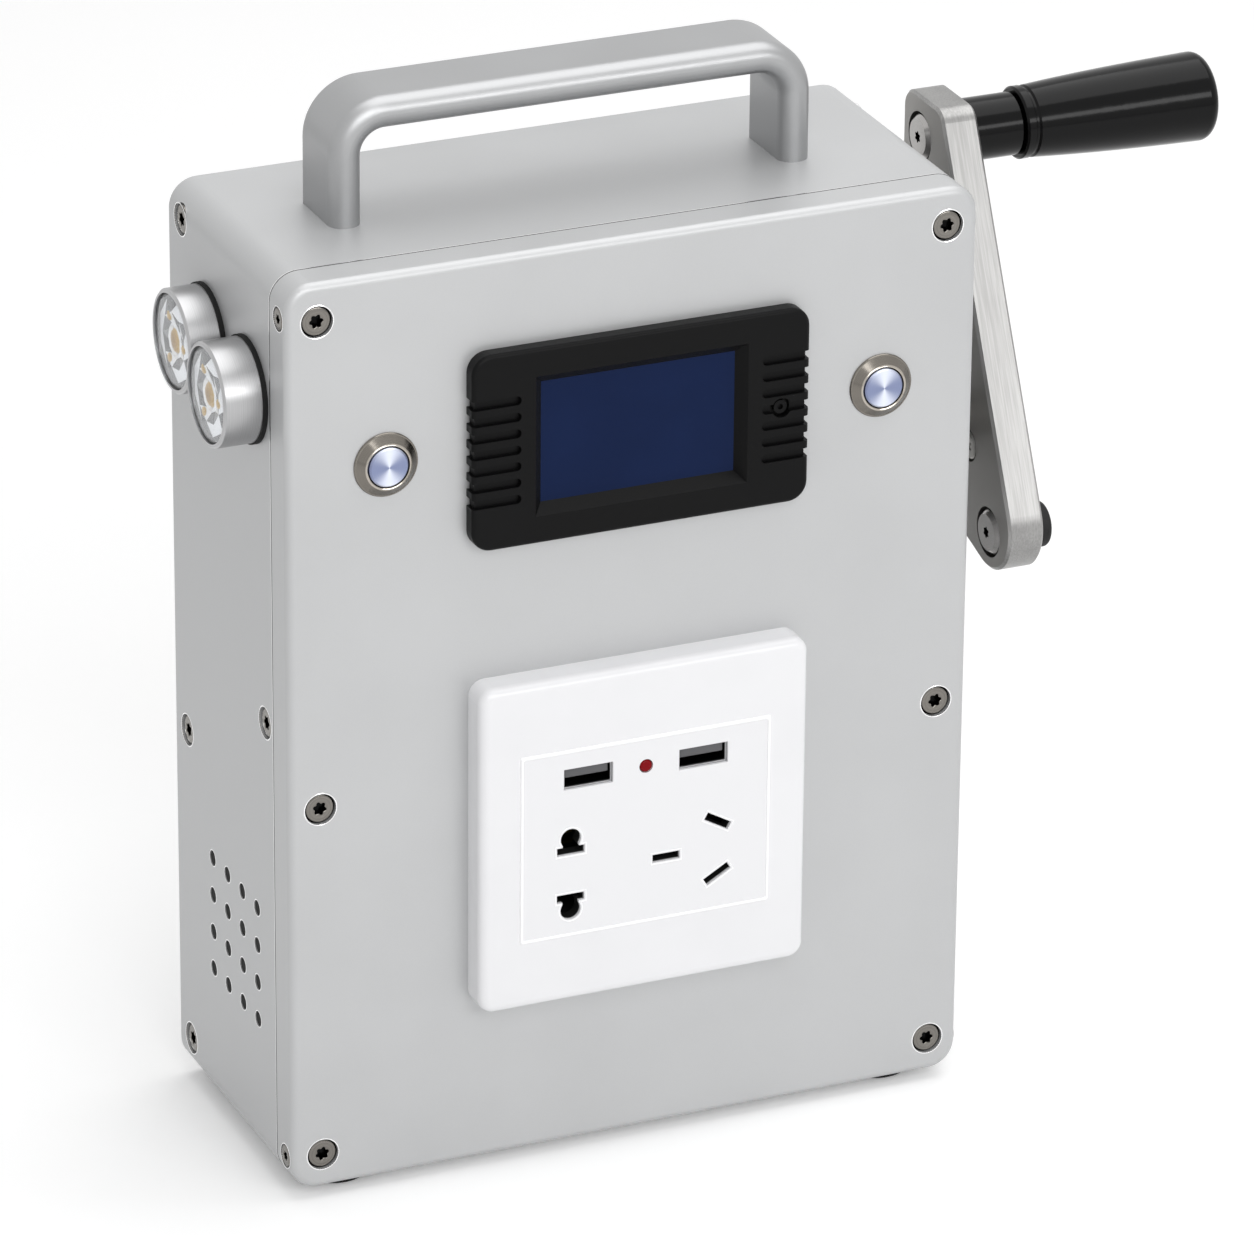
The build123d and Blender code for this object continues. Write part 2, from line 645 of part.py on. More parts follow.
with BuildPart() as meter_bezel:
    with BuildSketch(at_y(FRONT)):
        with Locations((0, METER_Z)):
            RectangleRounded(METER_W, METER_H, 5.0)
    extrude(amount=METER_PROUD)
    fillet(meter_bezel.faces().sort_by(Axis.Y)[0].edges(), 1.1)
    with BuildSketch(at_y(METER_BODY_END)):
        with Locations((0, METER_Z)):
            Rectangle(*METER_BODY)
    extrude(amount=METER_BODY_END - FRONT)
    with BuildSketch(at_y(METER_BODY_END)):
        with Locations((0, METER_Z)):
            Rectangle(METER_BODY[0] - 2 * METER_SHELL, METER_BODY[1] - 2 * METER_SHELL)
    extrude(amount=METER_BODY_END - FRONT, mode=Mode.SUBTRACT)
    with BuildSketch(at_y(FRONT)):
        with Locations((0, METER_Z)):
            Rectangle(SCREEN_BODY[0] + 0.4, SCREEN_BODY[1] + 0.4)
    extrude(amount=FRONT - SCREEN_FACE, mode=Mode.SUBTRACT)
    # The window narrows from the bezel's face down to the screen
    with BuildSketch(at_y(METER_FACE)):
        with Locations((0, METER_Z)):
            Rectangle(*WINDOW)
    with BuildSketch(at_y(SCREEN_FACE)):
        with Locations((0, METER_Z)):
            Rectangle(*SCREEN_VIEW)
    loft(mode=Mode.SUBTRACT)
    for side in (-1, 1):
        edge_x = side * METER_W / 2
        with BuildSketch(at_y(METER_FACE)):
            with Locations((edge_x - side * (GROOVE_L - GROOVE_W / 2) / 2, METER_Z)):
                with GridLocations(0, GROOVE_PITCH, 1, GROOVES):
                    SlotOverall(GROOVE_L + GROOVE_W / 2, GROOVE_W)
        extrude(amount=-GROOVE_D, mode=Mode.SUBTRACT)
        with BuildSketch(at_y(METER_FACE)):
            with Locations((edge_x, METER_Z)):
                with GridLocations(0, GROOVE_PITCH, 1, GROOVES):
                    Rectangle(2 * NOTCH, GROOVE_W)
        extrude(amount=-METER_PROUD, mode=Mode.SUBTRACT)
    with BuildSketch(at_y(METER_FACE)):
        with Locations((METER_SCREW_X, METER_Z)):
            Circle(METER_SCREW_R + 0.8)
    extrude(amount=-2.2, mode=Mode.SUBTRACT)
finish(meter_bezel, "meter_bezel")

with BuildPart() as meter_screen:
    with BuildSketch(at_y(SCREEN_FACE + SCREEN_T)):
        with Locations((0, METER_Z)):
            Rectangle(*SCREEN_BODY)
    extrude(amount=SCREEN_T)
finish(meter_screen, "meter_screen")

with BuildPart() as meter_case:
    with BuildSketch(at_y(METER_END)):
        with Locations((0, METER_Z)):
            Rectangle(*METER_BODY)
    extrude(amount=METER_END - METER_BODY_END)
    with BuildSketch(at_y(METER_BODY_END)):
        with Locations((0, METER_Z)):
            Rectangle(METER_BODY[0] - 2 * METER_SHELL, METER_BODY[1] - 2 * METER_SHELL)
    extrude(amount=-4.4, mode=Mode.SUBTRACT)
finish(meter_case, "meter_case")

with BuildPart() as meter_screw:
    with BuildSketch(at_y(METER_FACE + 2.2)):
        with Locations((METER_SCREW_X, METER_Z)):
            Circle(METER_SCREW_R)
            Circle(METER_SCREW_R * 0.42, mode=Mode.SUBTRACT)
    extrude(amount=1.4)
    with BuildSketch(at_y(METER_FACE + 2.2)):
        with Locations((METER_SCREW_X, METER_Z)):
            Circle(METER_SCREW_R)
    extrude(amount=0.6)
finish(meter_screw, "meter_screw")

# ---- Mains and USB socket -----------------------------------------------------------------------

PLATE_FACE = FRONT - SOCKET_PROUD
PLATE_SHELL = 2.4
MODULE_W = 65.2
MODULE_H = 49.1
MODULE_GAP = 0.25
MODULE_FACE = PLATE_FACE - 0.2
MODULE_T = 4.0
SKIRT = (62.0, 46.0)
SKIRT_END = FRONT + 12.0
SKIRT_WALL = 1.6
MODULE_Z = SOCKET_Z - 0.5
USB_X = 15.1
USB_Z = SOCKET_Z + 16.5
USB_OPENING = (12.9, 5.5)
USB_SHELL = (12.7, 5.3)
USB_SHELL_T = 0.35
USB_FACE = MODULE_FACE + 0.8
USB_L = 14.0
LAMP_DOT_R = 1.65
PAIR_X = -19.6
ROUND_R = 2.65
ROUND_PITCH = 18.9
NECK_W = 4.3
BLADE_PITCH = 12.6
BLADE_SLOT = (7.2, 2.1)
TRIPLE_X = 12.3
TRIPLE_Z = -8.7
EARTH_DX = -6.8
LIVE_DX = 6.8
LIVE_DZ = 7.1
LIVE_TILT = 30.0
SLOTS = [
    (PAIR_X, -8.8 + BLADE_PITCH / 2, 0.0),
    (PAIR_X, -8.8 - BLADE_PITCH / 2, 0.0),
    (TRIPLE_X + EARTH_DX, TRIPLE_Z, 0.0),
    (TRIPLE_X + LIVE_DX, TRIPLE_Z + LIVE_DZ, -LIVE_TILT),
    (TRIPLE_X + LIVE_DX, TRIPLE_Z - LIVE_DZ, LIVE_TILT),
]

with BuildPart() as socket_plate:
    with BuildSketch(at_y(FRONT)):
        with Locations((0, SOCKET_Z)):
            RectangleRounded(SOCKET_SIZE, SOCKET_SIZE, 4.0)
    extrude(amount=SOCKET_PROUD)
    fillet(socket_plate.faces().sort_by(Axis.Y)[0].edges(), 2.4)
    with BuildSketch(at_y(FRONT)):
        with Locations((0, SOCKET_Z)):
            RectangleRounded(SOCKET_SIZE - 2 * PLATE_SHELL, SOCKET_SIZE - 2 * PLATE_SHELL, 2.0)
    extrude(amount=SOCKET_PROUD - PLATE_SHELL, mode=Mode.SUBTRACT)
    with BuildSketch(at_y(PLATE_FACE)):
        with Locations((0, MODULE_Z)):
            Rectangle(MODULE_W, MODULE_H)
    extrude(amount=-SOCKET_PROUD, mode=Mode.SUBTRACT)
finish(socket_plate, "socket_plate")

with BuildPart() as socket_module:
    with BuildSketch(at_y(MODULE_FACE + MODULE_T)):
        with Locations((0, MODULE_Z)):
            Rectangle(MODULE_W - 2 * MODULE_GAP, MODULE_H - 2 * MODULE_GAP)
    extrude(amount=MODULE_T)
    chamfer(socket_module.faces().sort_by(Axis.Y)[0].edges(), 0.3)
    # Clips behind the plate, and the skirt that holds the contacts
    with BuildSketch(at_y(SKIRT_END)):
        with Locations((0, MODULE_Z)):
            Rectangle(*SKIRT)
    extrude(amount=SKIRT_END - MODULE_FACE - MODULE_T)
    with BuildSketch(at_y(SKIRT_END - SKIRT_WALL)):
        with Locations((0, MODULE_Z)):
            Rectangle(SKIRT[0] - 2 * SKIRT_WALL, SKIRT[1] - 2 * SKIRT_WALL)
    extrude(amount=SKIRT_END - SKIRT_WALL - MODULE_FACE - MODULE_T, mode=Mode.SUBTRACT)
    with BuildSketch(at_y(MODULE_FACE)):
        for slot_x, slot_z, tilt in SLOTS:
            with Locations(Location((slot_x, SOCKET_Z + slot_z, 0), (0, 0, tilt))):
                Rectangle(*BLADE_SLOT)
        with Locations(
            (PAIR_X, SOCKET_Z - 8.8 + ROUND_PITCH / 2), (PAIR_X, SOCKET_Z - 8.8 - ROUND_PITCH / 2)
        ):
            Circle(ROUND_R)
        # Each round hole runs straight into its blade slot
        neck_z = (BLADE_PITCH + ROUND_PITCH) / 4
        with Locations((PAIR_X, SOCKET_Z - 8.8 + neck_z), (PAIR_X, SOCKET_Z - 8.8 - neck_z)):
            Rectangle(NECK_W, (ROUND_PITCH - BLADE_PITCH) / 2)
        with Locations((-USB_X, USB_Z), (USB_X, USB_Z)):
            Rectangle(*USB_OPENING)
        with Locations((0, USB_Z)):
            Circle(LAMP_DOT_R + 0.15)
    extrude(amount=-MODULE_T, mode=Mode.SUBTRACT)
    with BuildSketch(at_y(SKIRT_END)):
        with Locations((-USB_X, USB_Z), (USB_X, USB_Z)):
            Rectangle(8.0, 2.4)
    extrude(amount=SKIRT_WALL, mode=Mode.SUBTRACT)
finish(socket_module, "socket_module")

BOX_END = FRONT + 27.0
BOX_FRONT = PLATE_FACE + PLATE_SHELL
BOX_W = 70.4
BOX_WALL = 2.0
BOX_FLANGE_W = 78.0

with BuildPart() as socket_back_box:
    with BuildSketch(at_y(BOX_END)):
        with Locations((0, SOCKET_Z)):
            RectangleRounded(BOX_W, BOX_W, 3.0)
    extrude(amount=BOX_END - BOX_FRONT)
    with BuildSketch(at_y(PANEL_BACK + BOX_WALL)):
        with Locations((0, SOCKET_Z)):
            RectangleRounded(BOX_FLANGE_W, BOX_FLANGE_W, 4.0)
    extrude(amount=BOX_WALL)
    with BuildSketch(at_y(BOX_END - BOX_WALL)):
        with Locations((0, SOCKET_Z)):
            RectangleRounded(BOX_W - 2 * BOX_WALL, BOX_W - 2 * BOX_WALL, 2.0)
    extrude(amount=BOX_END - BOX_WALL - BOX_FRONT, mode=Mode.SUBTRACT)
    with BuildSketch(at_y(BOX_END)):
        with Locations((0, SOCKET_Z - 20.0)):
            Circle(6.0)
    extrude(amount=BOX_WALL, mode=Mode.SUBTRACT)
finish(socket_back_box, "socket_back_box")

MODULE_BACK = MODULE_FACE + MODULE_T

for port_name, port_x in (("left", -USB_X), ("right", USB_X)):
    with BuildPart() as usb_port:
        with BuildSketch(at_y(USB_FACE + USB_L)):
            with Locations((port_x, USB_Z)):
                Rectangle(*USB_SHELL)
        extrude(amount=USB_L)
        # The wider body behind sits against the module's back
        with BuildSketch(at_y(USB_FACE + USB_L)):
            with Locations((port_x, USB_Z)):
                Rectangle(USB_SHELL[0] + 1.2, USB_SHELL[1] + 1.2)
        extrude(amount=USB_FACE + USB_L - MODULE_BACK)
        with BuildSketch(at_y(USB_FACE)):
            with Locations((port_x, USB_Z)):
                Rectangle(USB_SHELL[0] - 2 * USB_SHELL_T, USB_SHELL[1] - 2 * USB_SHELL_T)
        extrude(amount=-(USB_L - 2.0), mode=Mode.SUBTRACT)
        with BuildSketch(at_y(USB_FACE + USB_L)):
            with Locations((port_x, USB_Z + 1.0)):
                Rectangle(11.2, 1.9)
        extrude(amount=USB_L - 1.2)
    finish(usb_port, f"usb_port_{port_name}")

with BuildPart() as socket_indicator:
    with BuildSketch(at_y(MODULE_BACK + 1.0)):
        with Locations((0, USB_Z)):
            Circle(LAMP_DOT_R + 0.7)
    extrude(amount=1.0)
    with BuildSketch(at_y(MODULE_BACK)):
        with Locations((0, USB_Z)):
            Circle(LAMP_DOT_R)
    extrude(amount=MODULE_T + 0.2)
    fillet(socket_indicator.faces().sort_by(Axis.Y)[0].edges(), 0.7)
finish(socket_indicator, "socket_indicator")

CONTACT_L = 11.0
CONTACT_T = 0.6

with BuildPart() as socket_contacts:
    with BuildSketch(at_y(SKIRT_END - SKIRT_WALL)):
        for slot_x, slot_z, tilt in SLOTS:
            with Locations(Location((slot_x, SOCKET_Z + slot_z, 0), (0, 0, tilt))):
                with GridLocations(0, BLADE_SLOT[1] + CONTACT_T, 1, 2):
                    Rectangle(BLADE_SLOT[0], CONTACT_T)
    extrude(amount=CONTACT_L)
    with BuildSketch(at_y(SKIRT_END - SKIRT_WALL)):
        for slot_x, slot_z, tilt in SLOTS:
            with Locations(Location((slot_x, SOCKET_Z + slot_z, 0), (0, 0, tilt))):
                Rectangle(BLADE_SLOT[0], BLADE_SLOT[1] + 2 * CONTACT_T)
    extrude(amount=1.0)
finish(socket_contacts, "socket_contacts")

# ---- Push buttons -------------------------------------------------------------------------------

BUTTON_RIM_R = 7.7
BUTTON_RIM_H = 2.0
BUTTON_BORE_R = 5.3
BUTTON_CAP_R = 4.95
BUTTON_END = PANEL_BACK + 15.0
BUTTON_FLOOR = PANEL_BACK + 7.0
CAP_PROUD = 0.5
CAP_L = 10.5

for button_name, button_x in (("left", -BUTTON_X), ("right", BUTTON_X)):
    with BuildPart() as button_body:
        with BuildSketch(at_y(FRONT)):
            with Locations((button_x, BUTTON_Z)):
                Circle(BUTTON_RIM_R)
        extrude(amount=BUTTON_RIM_H)
        chamfer(
            button_body.faces().sort_by(Axis.Y)[0].edges(), length=1.5, length2=1.7
        )
        with BuildSketch(at_y(BUTTON_END)):
            with Locations((button_x, BUTTON_Z)):
                Circle(BUTTON_NECK_R)
        extrude(amount=BUTTON_END - FRONT)
        with BuildSketch(at_y(FRONT - BUTTON_RIM_H)):
            with Locations((button_x, BUTTON_Z)):
                Circle(BUTTON_BORE_R)
        extrude(amount=-(BUTTON_FLOOR - FRONT + BUTTON_RIM_H), mode=Mode.SUBTRACT)
        # Solder tags at the back
        with BuildSketch(at_y(BUTTON_END + 4.0)):
            with Locations((button_x, BUTTON_Z)):
                with GridLocations(5.0, 5.0, 2, 2):
                    Rectangle(1.6, 0.6)
        extrude(amount=4.0)
    finish(button_body, f"button_{button_name}_body")

    with BuildPart() as button_cap:
        with BuildSketch(at_y(FRONT - BUTTON_RIM_H - CAP_PROUD + CAP_L)):
            with Locations((button_x, BUTTON_Z)):
                Circle(BUTTON_CAP_R)
        extrude(amount=CAP_L)
        chamfer(button_cap.faces().sort_by(Axis.Y)[0].edges(), 0.4)
    finish(button_cap, f"button_{button_name}_cap")

# ---- Crank --------------------------------------------------------------------------------------

BOLT_HEAD_R = 5.6
BOLT_RECESS_R = 6.4
BOLT_HEAD_H = 3.2
BOLT_HEAD_BEVEL = 1.0
BOLT_LOBE_R = 1.5
BOLT_LOBE_D = 2.0
BOLT_RECESS_D = 2.6
NOSE_BOLT_R = 3.0
HUB_HEAD_R = 3.6
HUB_RECESS_R = 4.2
HUB_RECESS_D = 1.4
HUB_FLANGE_R = 18.5
HUB_FLANGE_T = 4.0
BOLT_FACE_X = ARM_IN + BOLT_RECESS_D - BOLT_HEAD_H
HUB_PLANE = Plane(origin=(ARM_IN, *HUB_YZ), x_dir=(0, 1, 0), z_dir=(1, 0, 0))
TOP_Z = ARM_TOP + FOOT_H
BACK_Y = FRONT + ARM_BACK
BACK_LOW_Z = ARM_BACK_LOW + FOOT_H


def hub_screw_places():
    """Centres of the four hub screws in the side view."""
    places = []
    for turn in range(4):
        angle = math.radians(HUB_SCREW_ANGLE + 90 * turn)
        places.append(
            (
                HUB_YZ[0] + HUB_SCREW_PCD / 2 * math.cos(angle),
                HUB_YZ[1] + HUB_SCREW_PCD / 2 * math.sin(angle),
            )
        )
    return places


def outer_tangent(start, start_r, end, end_r):
    """Points where the line touching two circles meets them, on the line's right-hand side."""
    heading = direction(start, end)
    lean = math.asin((end_r - start_r) / math.dist(start, end))
    normal = heading - math.pi / 2 - lean
    step = (math.cos(normal), math.sin(normal))
    return (
        (start[0] + start_r * step[0], start[1] + start_r * step[1]),
        (end[0] + end_r * step[0], end[1] + end_r * step[1]),
    )


def arc_middle(centre, radius, start, end):
    """Middle point of the counter-clockwise arc from start to end."""
    first = direction(centre, start)
    sweep = (direction(centre, end) - first) % (2 * math.pi)
    middle = first + sweep / 2
    return (centre[0] + radius * math.cos(middle), centre[1] + radius * math.sin(middle))


FRONT_TOP = (FRONT + ARM_TOP_FRONT, TOP_Z)
BACK_TOP = (BACK_Y, TOP_Z)
BACK_LOW = (BACK_Y, BACK_LOW_Z)
nose_front = outer_tangent(FRONT_TOP, 0.0, NOSE_YZ, NOSE_R)[1]
nose_under, lobe_under = outer_tangent(NOSE_YZ, NOSE_R, HUB_YZ, LOBE_R)
lobe_back = outer_tangent(HUB_YZ, LOBE_R, BACK_LOW, 0.0)[0]

with BuildPart() as crank_arm:
    with BuildSketch(at_x(ARM_IN)):
        with BuildLine():
            Line(FRONT_TOP, nose_front)
            ThreePointArc(nose_front, arc_middle(NOSE_YZ, NOSE_R, nose_front, nose_under), nose_under)
            Line(nose_under, lobe_under)
            ThreePointArc(lobe_under, arc_middle(HUB_YZ, LOBE_R, lobe_under, lobe_back), lobe_back)
            Polyline(lobe_back, BACK_LOW, BACK_TOP, FRONT_TOP)
        make_face()
    extrude(amount=ARM_T)
    upper = crank_arm.edges().filter_by(Axis.X)
    fillet(upper.filter_by(lambda e: e.center().Z > TOP_Z - 1), ARM_CORNER_R)
    chamfer(crank_arm.faces().sort_by(Axis.X)[0].edges(), 0.7)
    chamfer(crank_arm.faces().sort_by(Axis.X)[-1].edges(), 0.7)
    with BuildSketch(at_x(ARM_IN)):
        with Locations(HUB_YZ):
            Circle(SHAFT_R)
        with Locations(GRIP_YZ):
            Circle(SPINDLE_R)
        with Locations(NOSE_BOLT_YZ):
            Circle(NOSE_BOLT_R)
        with Locations(*hub_screw_places()):
            Circle(SHANK_R + LOOSE)
    extrude(amount=ARM_T, mode=Mode.SUBTRACT)
    with BuildSketch(at_x(ARM_IN)):
        with Locations(GRIP_YZ, NOSE_BOLT_YZ):
            Circle(BOLT_RECESS_R)
    extrude(amount=BOLT_RECESS_D, mode=Mode.SUBTRACT)
    with BuildSketch(at_x(ARM_IN)):
        with Locations(*hub_screw_places()):
            Circle(HUB_RECESS_R)
    extrude(amount=HUB_RECESS_D, mode=Mode.SUBTRACT)
finish(crank_arm, "crank_arm")

with BuildPart() as crank_hub:
    with BuildSketch(HUB_PLANE.offset(ARM_T)):
        Circle(HUB_FLANGE_R)
    extrude(amount=HUB_FLANGE_T)
    chamfer(crank_hub.faces().sort_by(Axis.X)[-1].edges(), 0.8)
    with BuildSketch(at_x(ARM_OUT)):
        with Locations(HUB_YZ):
            Circle(SHAFT_R)
        with Locations(*hub_screw_places()):
            Circle(SHANK_R)
    extrude(amount=HUB_FLANGE_T, mode=Mode.SUBTRACT)
finish(crank_hub, "crank_hub")

hub_screw = lobed_screw(HUB_HEAD_R, 1.6, SHANK_R, ARM_T - HUB_RECESS_D + HUB_FLANGE_T - 0.6, TORX_R)

with BuildPart() as hub_screws:
    head_x = ARM_IN + HUB_RECESS_D - 1.6
    with Locations(*[facing((head_x, *yz), (-1, 0, 0)) for yz in hub_screw_places()]):
        add(hub_screw)
finish(hub_screws, "hub_screws")

SHAFT_IN = 53.0
SHAFT_END = ARM_OUT + HUB_FLANGE_T
END_SCREW_R = 3.0

with BuildPart() as crank_shaft:
    with BuildSketch(at_x(SHAFT_IN)):
        with Locations(HUB_YZ):
            Circle(SHAFT_R)
    extrude(amount=SHAFT_END - SHAFT_IN)
    chamfer(crank_shaft.faces().sort_by(Axis.X)[0].edges(), 0.6)
    with BuildSketch(at_x(SHAFT_END)):
        with Locations(HUB_YZ):
            Circle(END_SCREW_R)
    extrude(amount=-16.0, mode=Mode.SUBTRACT)
finish(crank_shaft, "crank_shaft")

end_screw = lobed_screw(8.0, 3.5, END_SCREW_R, 14.0, 3.4)

with BuildPart() as shaft_end_screw:
    with Locations(facing((SHAFT_END + 3.5, *HUB_YZ), (1, 0, 0))):
        add(end_screw)
finish(shaft_end_screw, "shaft_end_screw")

BUMPER_R = 5.75
BUMPER_L = 5.5

with BuildPart() as arm_bumper:
    with BuildSketch(at_x(ARM_OUT)):
        with Locations(NOSE_BOLT_YZ):
            Circle(BUMPER_R)
    extrude(amount=BUMPER_L)
    fillet(arm_bumper.faces().sort_by(Axis.X)[-1].edges(), 1.2)
    with BuildSketch(at_x(ARM_OUT)):
        with Locations(NOSE_BOLT_YZ):
            Circle(NOSE_BOLT_R)
    extrude(amount=3.5, mode=Mode.SUBTRACT)
finish(arm_bumper, "arm_bumper")

with BuildPart() as nose_bolt:
    with BuildSketch(at_x(ARM_IN + BOLT_RECESS_D)):
        with Locations(NOSE_BOLT_YZ):
            Circle(BOLT_HEAD_R)
    extrude(amount=-BOLT_HEAD_H)
    chamfer(nose_bolt.faces().sort_by(Axis.X)[0].edges(), BOLT_HEAD_BEVEL)
    with BuildSketch(facing((BOLT_FACE_X, *NOSE_BOLT_YZ), (-1, 0, 0))):
        six_lobes(BOLT_LOBE_R)
    extrude(amount=-BOLT_LOBE_D, mode=Mode.SUBTRACT)
    with BuildSketch(at_x(ARM_IN + BOLT_RECESS_D)):
        with Locations(NOSE_BOLT_YZ):
            Circle(NOSE_BOLT_R)
    extrude(amount=ARM_T - BOLT_RECESS_D + 3.0)
finish(nose_bolt, "nose_bolt")

GRIP_START = ARM_OUT + COLLAR_L + GRIP_GAP
GRIP_END = GRIP_START + GRIP_L
POCKET_R = 6.5
POCKET_X = GRIP_START + 39.0
CAP_X = GRIP_START + 47.0
RETAINER_X = POCKET_X + 0.5
RETAINER_R = 5.6
GRIP_ROUND = 2.8

with BuildPart() as grip_spindle:
    with BuildSketch(at_x(ARM_IN + BOLT_RECESS_D)):
        with Locations(GRIP_YZ):
            Circle(BOLT_HEAD_R)
    extrude(amount=-BOLT_HEAD_H)
    chamfer(grip_spindle.faces().sort_by(Axis.X)[0].edges(), BOLT_HEAD_BEVEL)
    with BuildSketch(facing((BOLT_FACE_X, *GRIP_YZ), (-1, 0, 0))):
        six_lobes(BOLT_LOBE_R)
    extrude(amount=-BOLT_LOBE_D, mode=Mode.SUBTRACT)
    with BuildSketch(at_x(ARM_IN + BOLT_RECESS_D)):
        with Locations(GRIP_YZ):
            Circle(SPINDLE_R)
    extrude(amount=RETAINER_X + 5.0 - ARM_IN - BOLT_RECESS_D)
    with BuildSketch(at_x(RETAINER_X)):
        with Locations(GRIP_YZ):
            Circle(RETAINER_R)
    extrude(amount=3.0)
finish(grip_spindle, "grip_spindle")

with BuildPart() as grip_collar:
    with BuildSketch(at_x(ARM_OUT)):
        with Locations(GRIP_YZ):
            Circle(COLLAR_R)
            Circle(SPINDLE_R, mode=Mode.SUBTRACT)
    extrude(amount=COLLAR_L)
    chamfer(grip_collar.faces().sort_by(Axis.X)[-1].edges().sort_by(SortBy.RADIUS)[-1], 0.5)
finish(grip_collar, "grip_collar")

grip_plane = Plane(origin=(GRIP_START, *GRIP_YZ), x_dir=(1, 0, 0), z_dir=(0, 0, 1))
grip_axis = Axis((GRIP_START, *GRIP_YZ), (1, 0, 0))

with BuildPart() as crank_grip:
    with BuildSketch(grip_plane):
        with BuildLine():
            Polyline(
                (0, SPINDLE_R + RUNNING), (0, GRIP_START_R - 0.5), (0.5, GRIP_START_R),
                (2.3, GRIP_START_R), (2.7, GRIP_START_R - 0.5), (3.3, GRIP_START_R - 0.5),
                (3.8, GRIP_START_R - 0.05),
            )
            Spline(
                (3.8, GRIP_START_R - 0.05), (17.0, GRIP_START_R + 0.85), (33.0, GRIP_START_R + 1.6),
                (GRIP_L - GRIP_ROUND, GRIP_END_R),
            )
            ThreePointArc(
                (GRIP_L - GRIP_ROUND, GRIP_END_R),
                (GRIP_L - GRIP_ROUND * 0.293, GRIP_END_R - GRIP_ROUND * 0.293),
                (GRIP_L, GRIP_END_R - GRIP_ROUND),
            )
            Polyline(
                (GRIP_L, GRIP_END_R - GRIP_ROUND), (GRIP_L, POCKET_R),
                (POCKET_X - GRIP_START, POCKET_R), (POCKET_X - GRIP_START, SPINDLE_R + RUNNING),
                (0, SPINDLE_R + RUNNING),
            )
        make_face()
    revolve(axis=grip_axis)
finish(crank_grip, "crank_grip")

with BuildPart() as grip_cap:
    with BuildSketch(at_x(CAP_X)):
        with Locations(GRIP_YZ):
            Circle(POCKET_R)
    extrude(amount=GRIP_END - CAP_X)
finish(grip_cap, "grip_cap")

# ---- Gearbox ------------------------------------------------------------------------------------

PLATE_T = 6.0
OUTER_PLATE_X = RIGHT - WALL - PLATE_T
INNER_PLATE_X = 55.0
OUTER_PLATE = [(-26, 184), (32, 184), (32, 108), (-12, 108), (-12, 134), (-26, 134)]
INNER_PLATE = [(-26, 184), (32, 184), (32, 86), (-10, 86), (-10, 134), (-26, 134)]
BEARING_R = 12.0
AXLE_R = 3.0
ROTOR_SHAFT_R = 2.5
PILLAR_R = 3.2
GAP = 0.4
DRIVE_X = 71.5
IDLER_LARGE_X = 62.5
IDLER_SMALL_X = 70.0
IDLER_SMALL_W = 8.5
ROTOR_GEAR_X = 62.0
ROTOR_GEAR_W = 7.0
GEAR_W = 6.0

drive_phase = direction(HUB_YZ, IDLER_YZ)
idler_small_phase = drive_phase + math.pi + math.pi / IDLER_SMALL_TEETH
idler_large_phase = direction(IDLER_YZ, ROTOR_YZ)
rotor_phase = idler_large_phase + math.pi + math.pi / ROTOR_TEETH

with BuildPart() as gearbox_outer_plate:
    with BuildSketch(at_x(OUTER_PLATE_X)):
        with BuildLine():
            Polyline(*OUTER_PLATE, close=True)
        make_face()
        with Locations(HUB_YZ):
            Circle(BEARING_R, mode=Mode.SUBTRACT)
        with Locations(IDLER_YZ):
            Circle(AXLE_R, mode=Mode.SUBTRACT)
        with Locations(*PILLAR_YZ):
            Circle(SHANK_R, mode=Mode.SUBTRACT)
    extrude(amount=PLATE_T)
finish(gearbox_outer_plate, "gearbox_outer_plate")

with BuildPart() as gearbox_inner_plate:
    with BuildSketch(at_x(INNER_PLATE_X)):
        with BuildLine():
            Polyline(*INNER_PLATE, close=True)
        make_face()
        with Locations(HUB_YZ):
            Circle(BEARING_R, mode=Mode.SUBTRACT)
        with Locations(IDLER_YZ):
            Circle(AXLE_R, mode=Mode.SUBTRACT)
        with Locations(ROTOR_YZ):
            Circle(4.5, mode=Mode.SUBTRACT)
    extrude(amount=PLATE_T)
finish(gearbox_inner_plate, "gearbox_inner_plate")

with BuildPart() as gearbox_pillars:
    with BuildSketch(at_x(INNER_PLATE_X + PLATE_T)):
        with Locations(*PILLAR_YZ):
            Circle(PILLAR_R)
    extrude(amount=OUTER_PLATE_X - INNER_PLATE_X - PLATE_T)
    with BuildSketch(at_x(OUTER_PLATE_X)):
        with Locations(*PILLAR_YZ):
            Circle(SHANK_R)
    extrude(amount=-10.0, mode=Mode.SUBTRACT)
finish(gearbox_pillars, "gearbox_pillars")

gearbox_screw = lobed_screw(HEAD_R, HEAD_H, SHANK_R, WALL - RECESS_H + PLATE_T + 8.0, TORX_R)

with BuildPart() as gearbox_screws:
    with Locations(*[facing((RIGHT - SINK, *yz), (1, 0, 0)) for yz in PILLAR_YZ]):
        add(gearbox_screw)
finish(gearbox_screws, "gearbox_screws")

with BuildPart() as shaft_bearings:
    for bearing_x in (OUTER_PLATE_X, INNER_PLATE_X):
        with BuildSketch(at_x(bearing_x)):
            with Locations(HUB_YZ):
                Circle(BEARING_R)
                Circle(SHAFT_R + RUNNING, mode=Mode.SUBTRACT)
        extrude(amount=PLATE_T)
        for groove_x, inward in ((bearing_x, 1), (bearing_x + PLATE_T, -1)):
            with BuildSketch(at_x(groove_x)):
                with Locations(HUB_YZ):
                    Circle(10.4)
                    Circle(7.8, mode=Mode.SUBTRACT)
            extrude(amount=inward * 0.8, mode=Mode.SUBTRACT)
finish(shaft_bearings, "shaft_bearings")

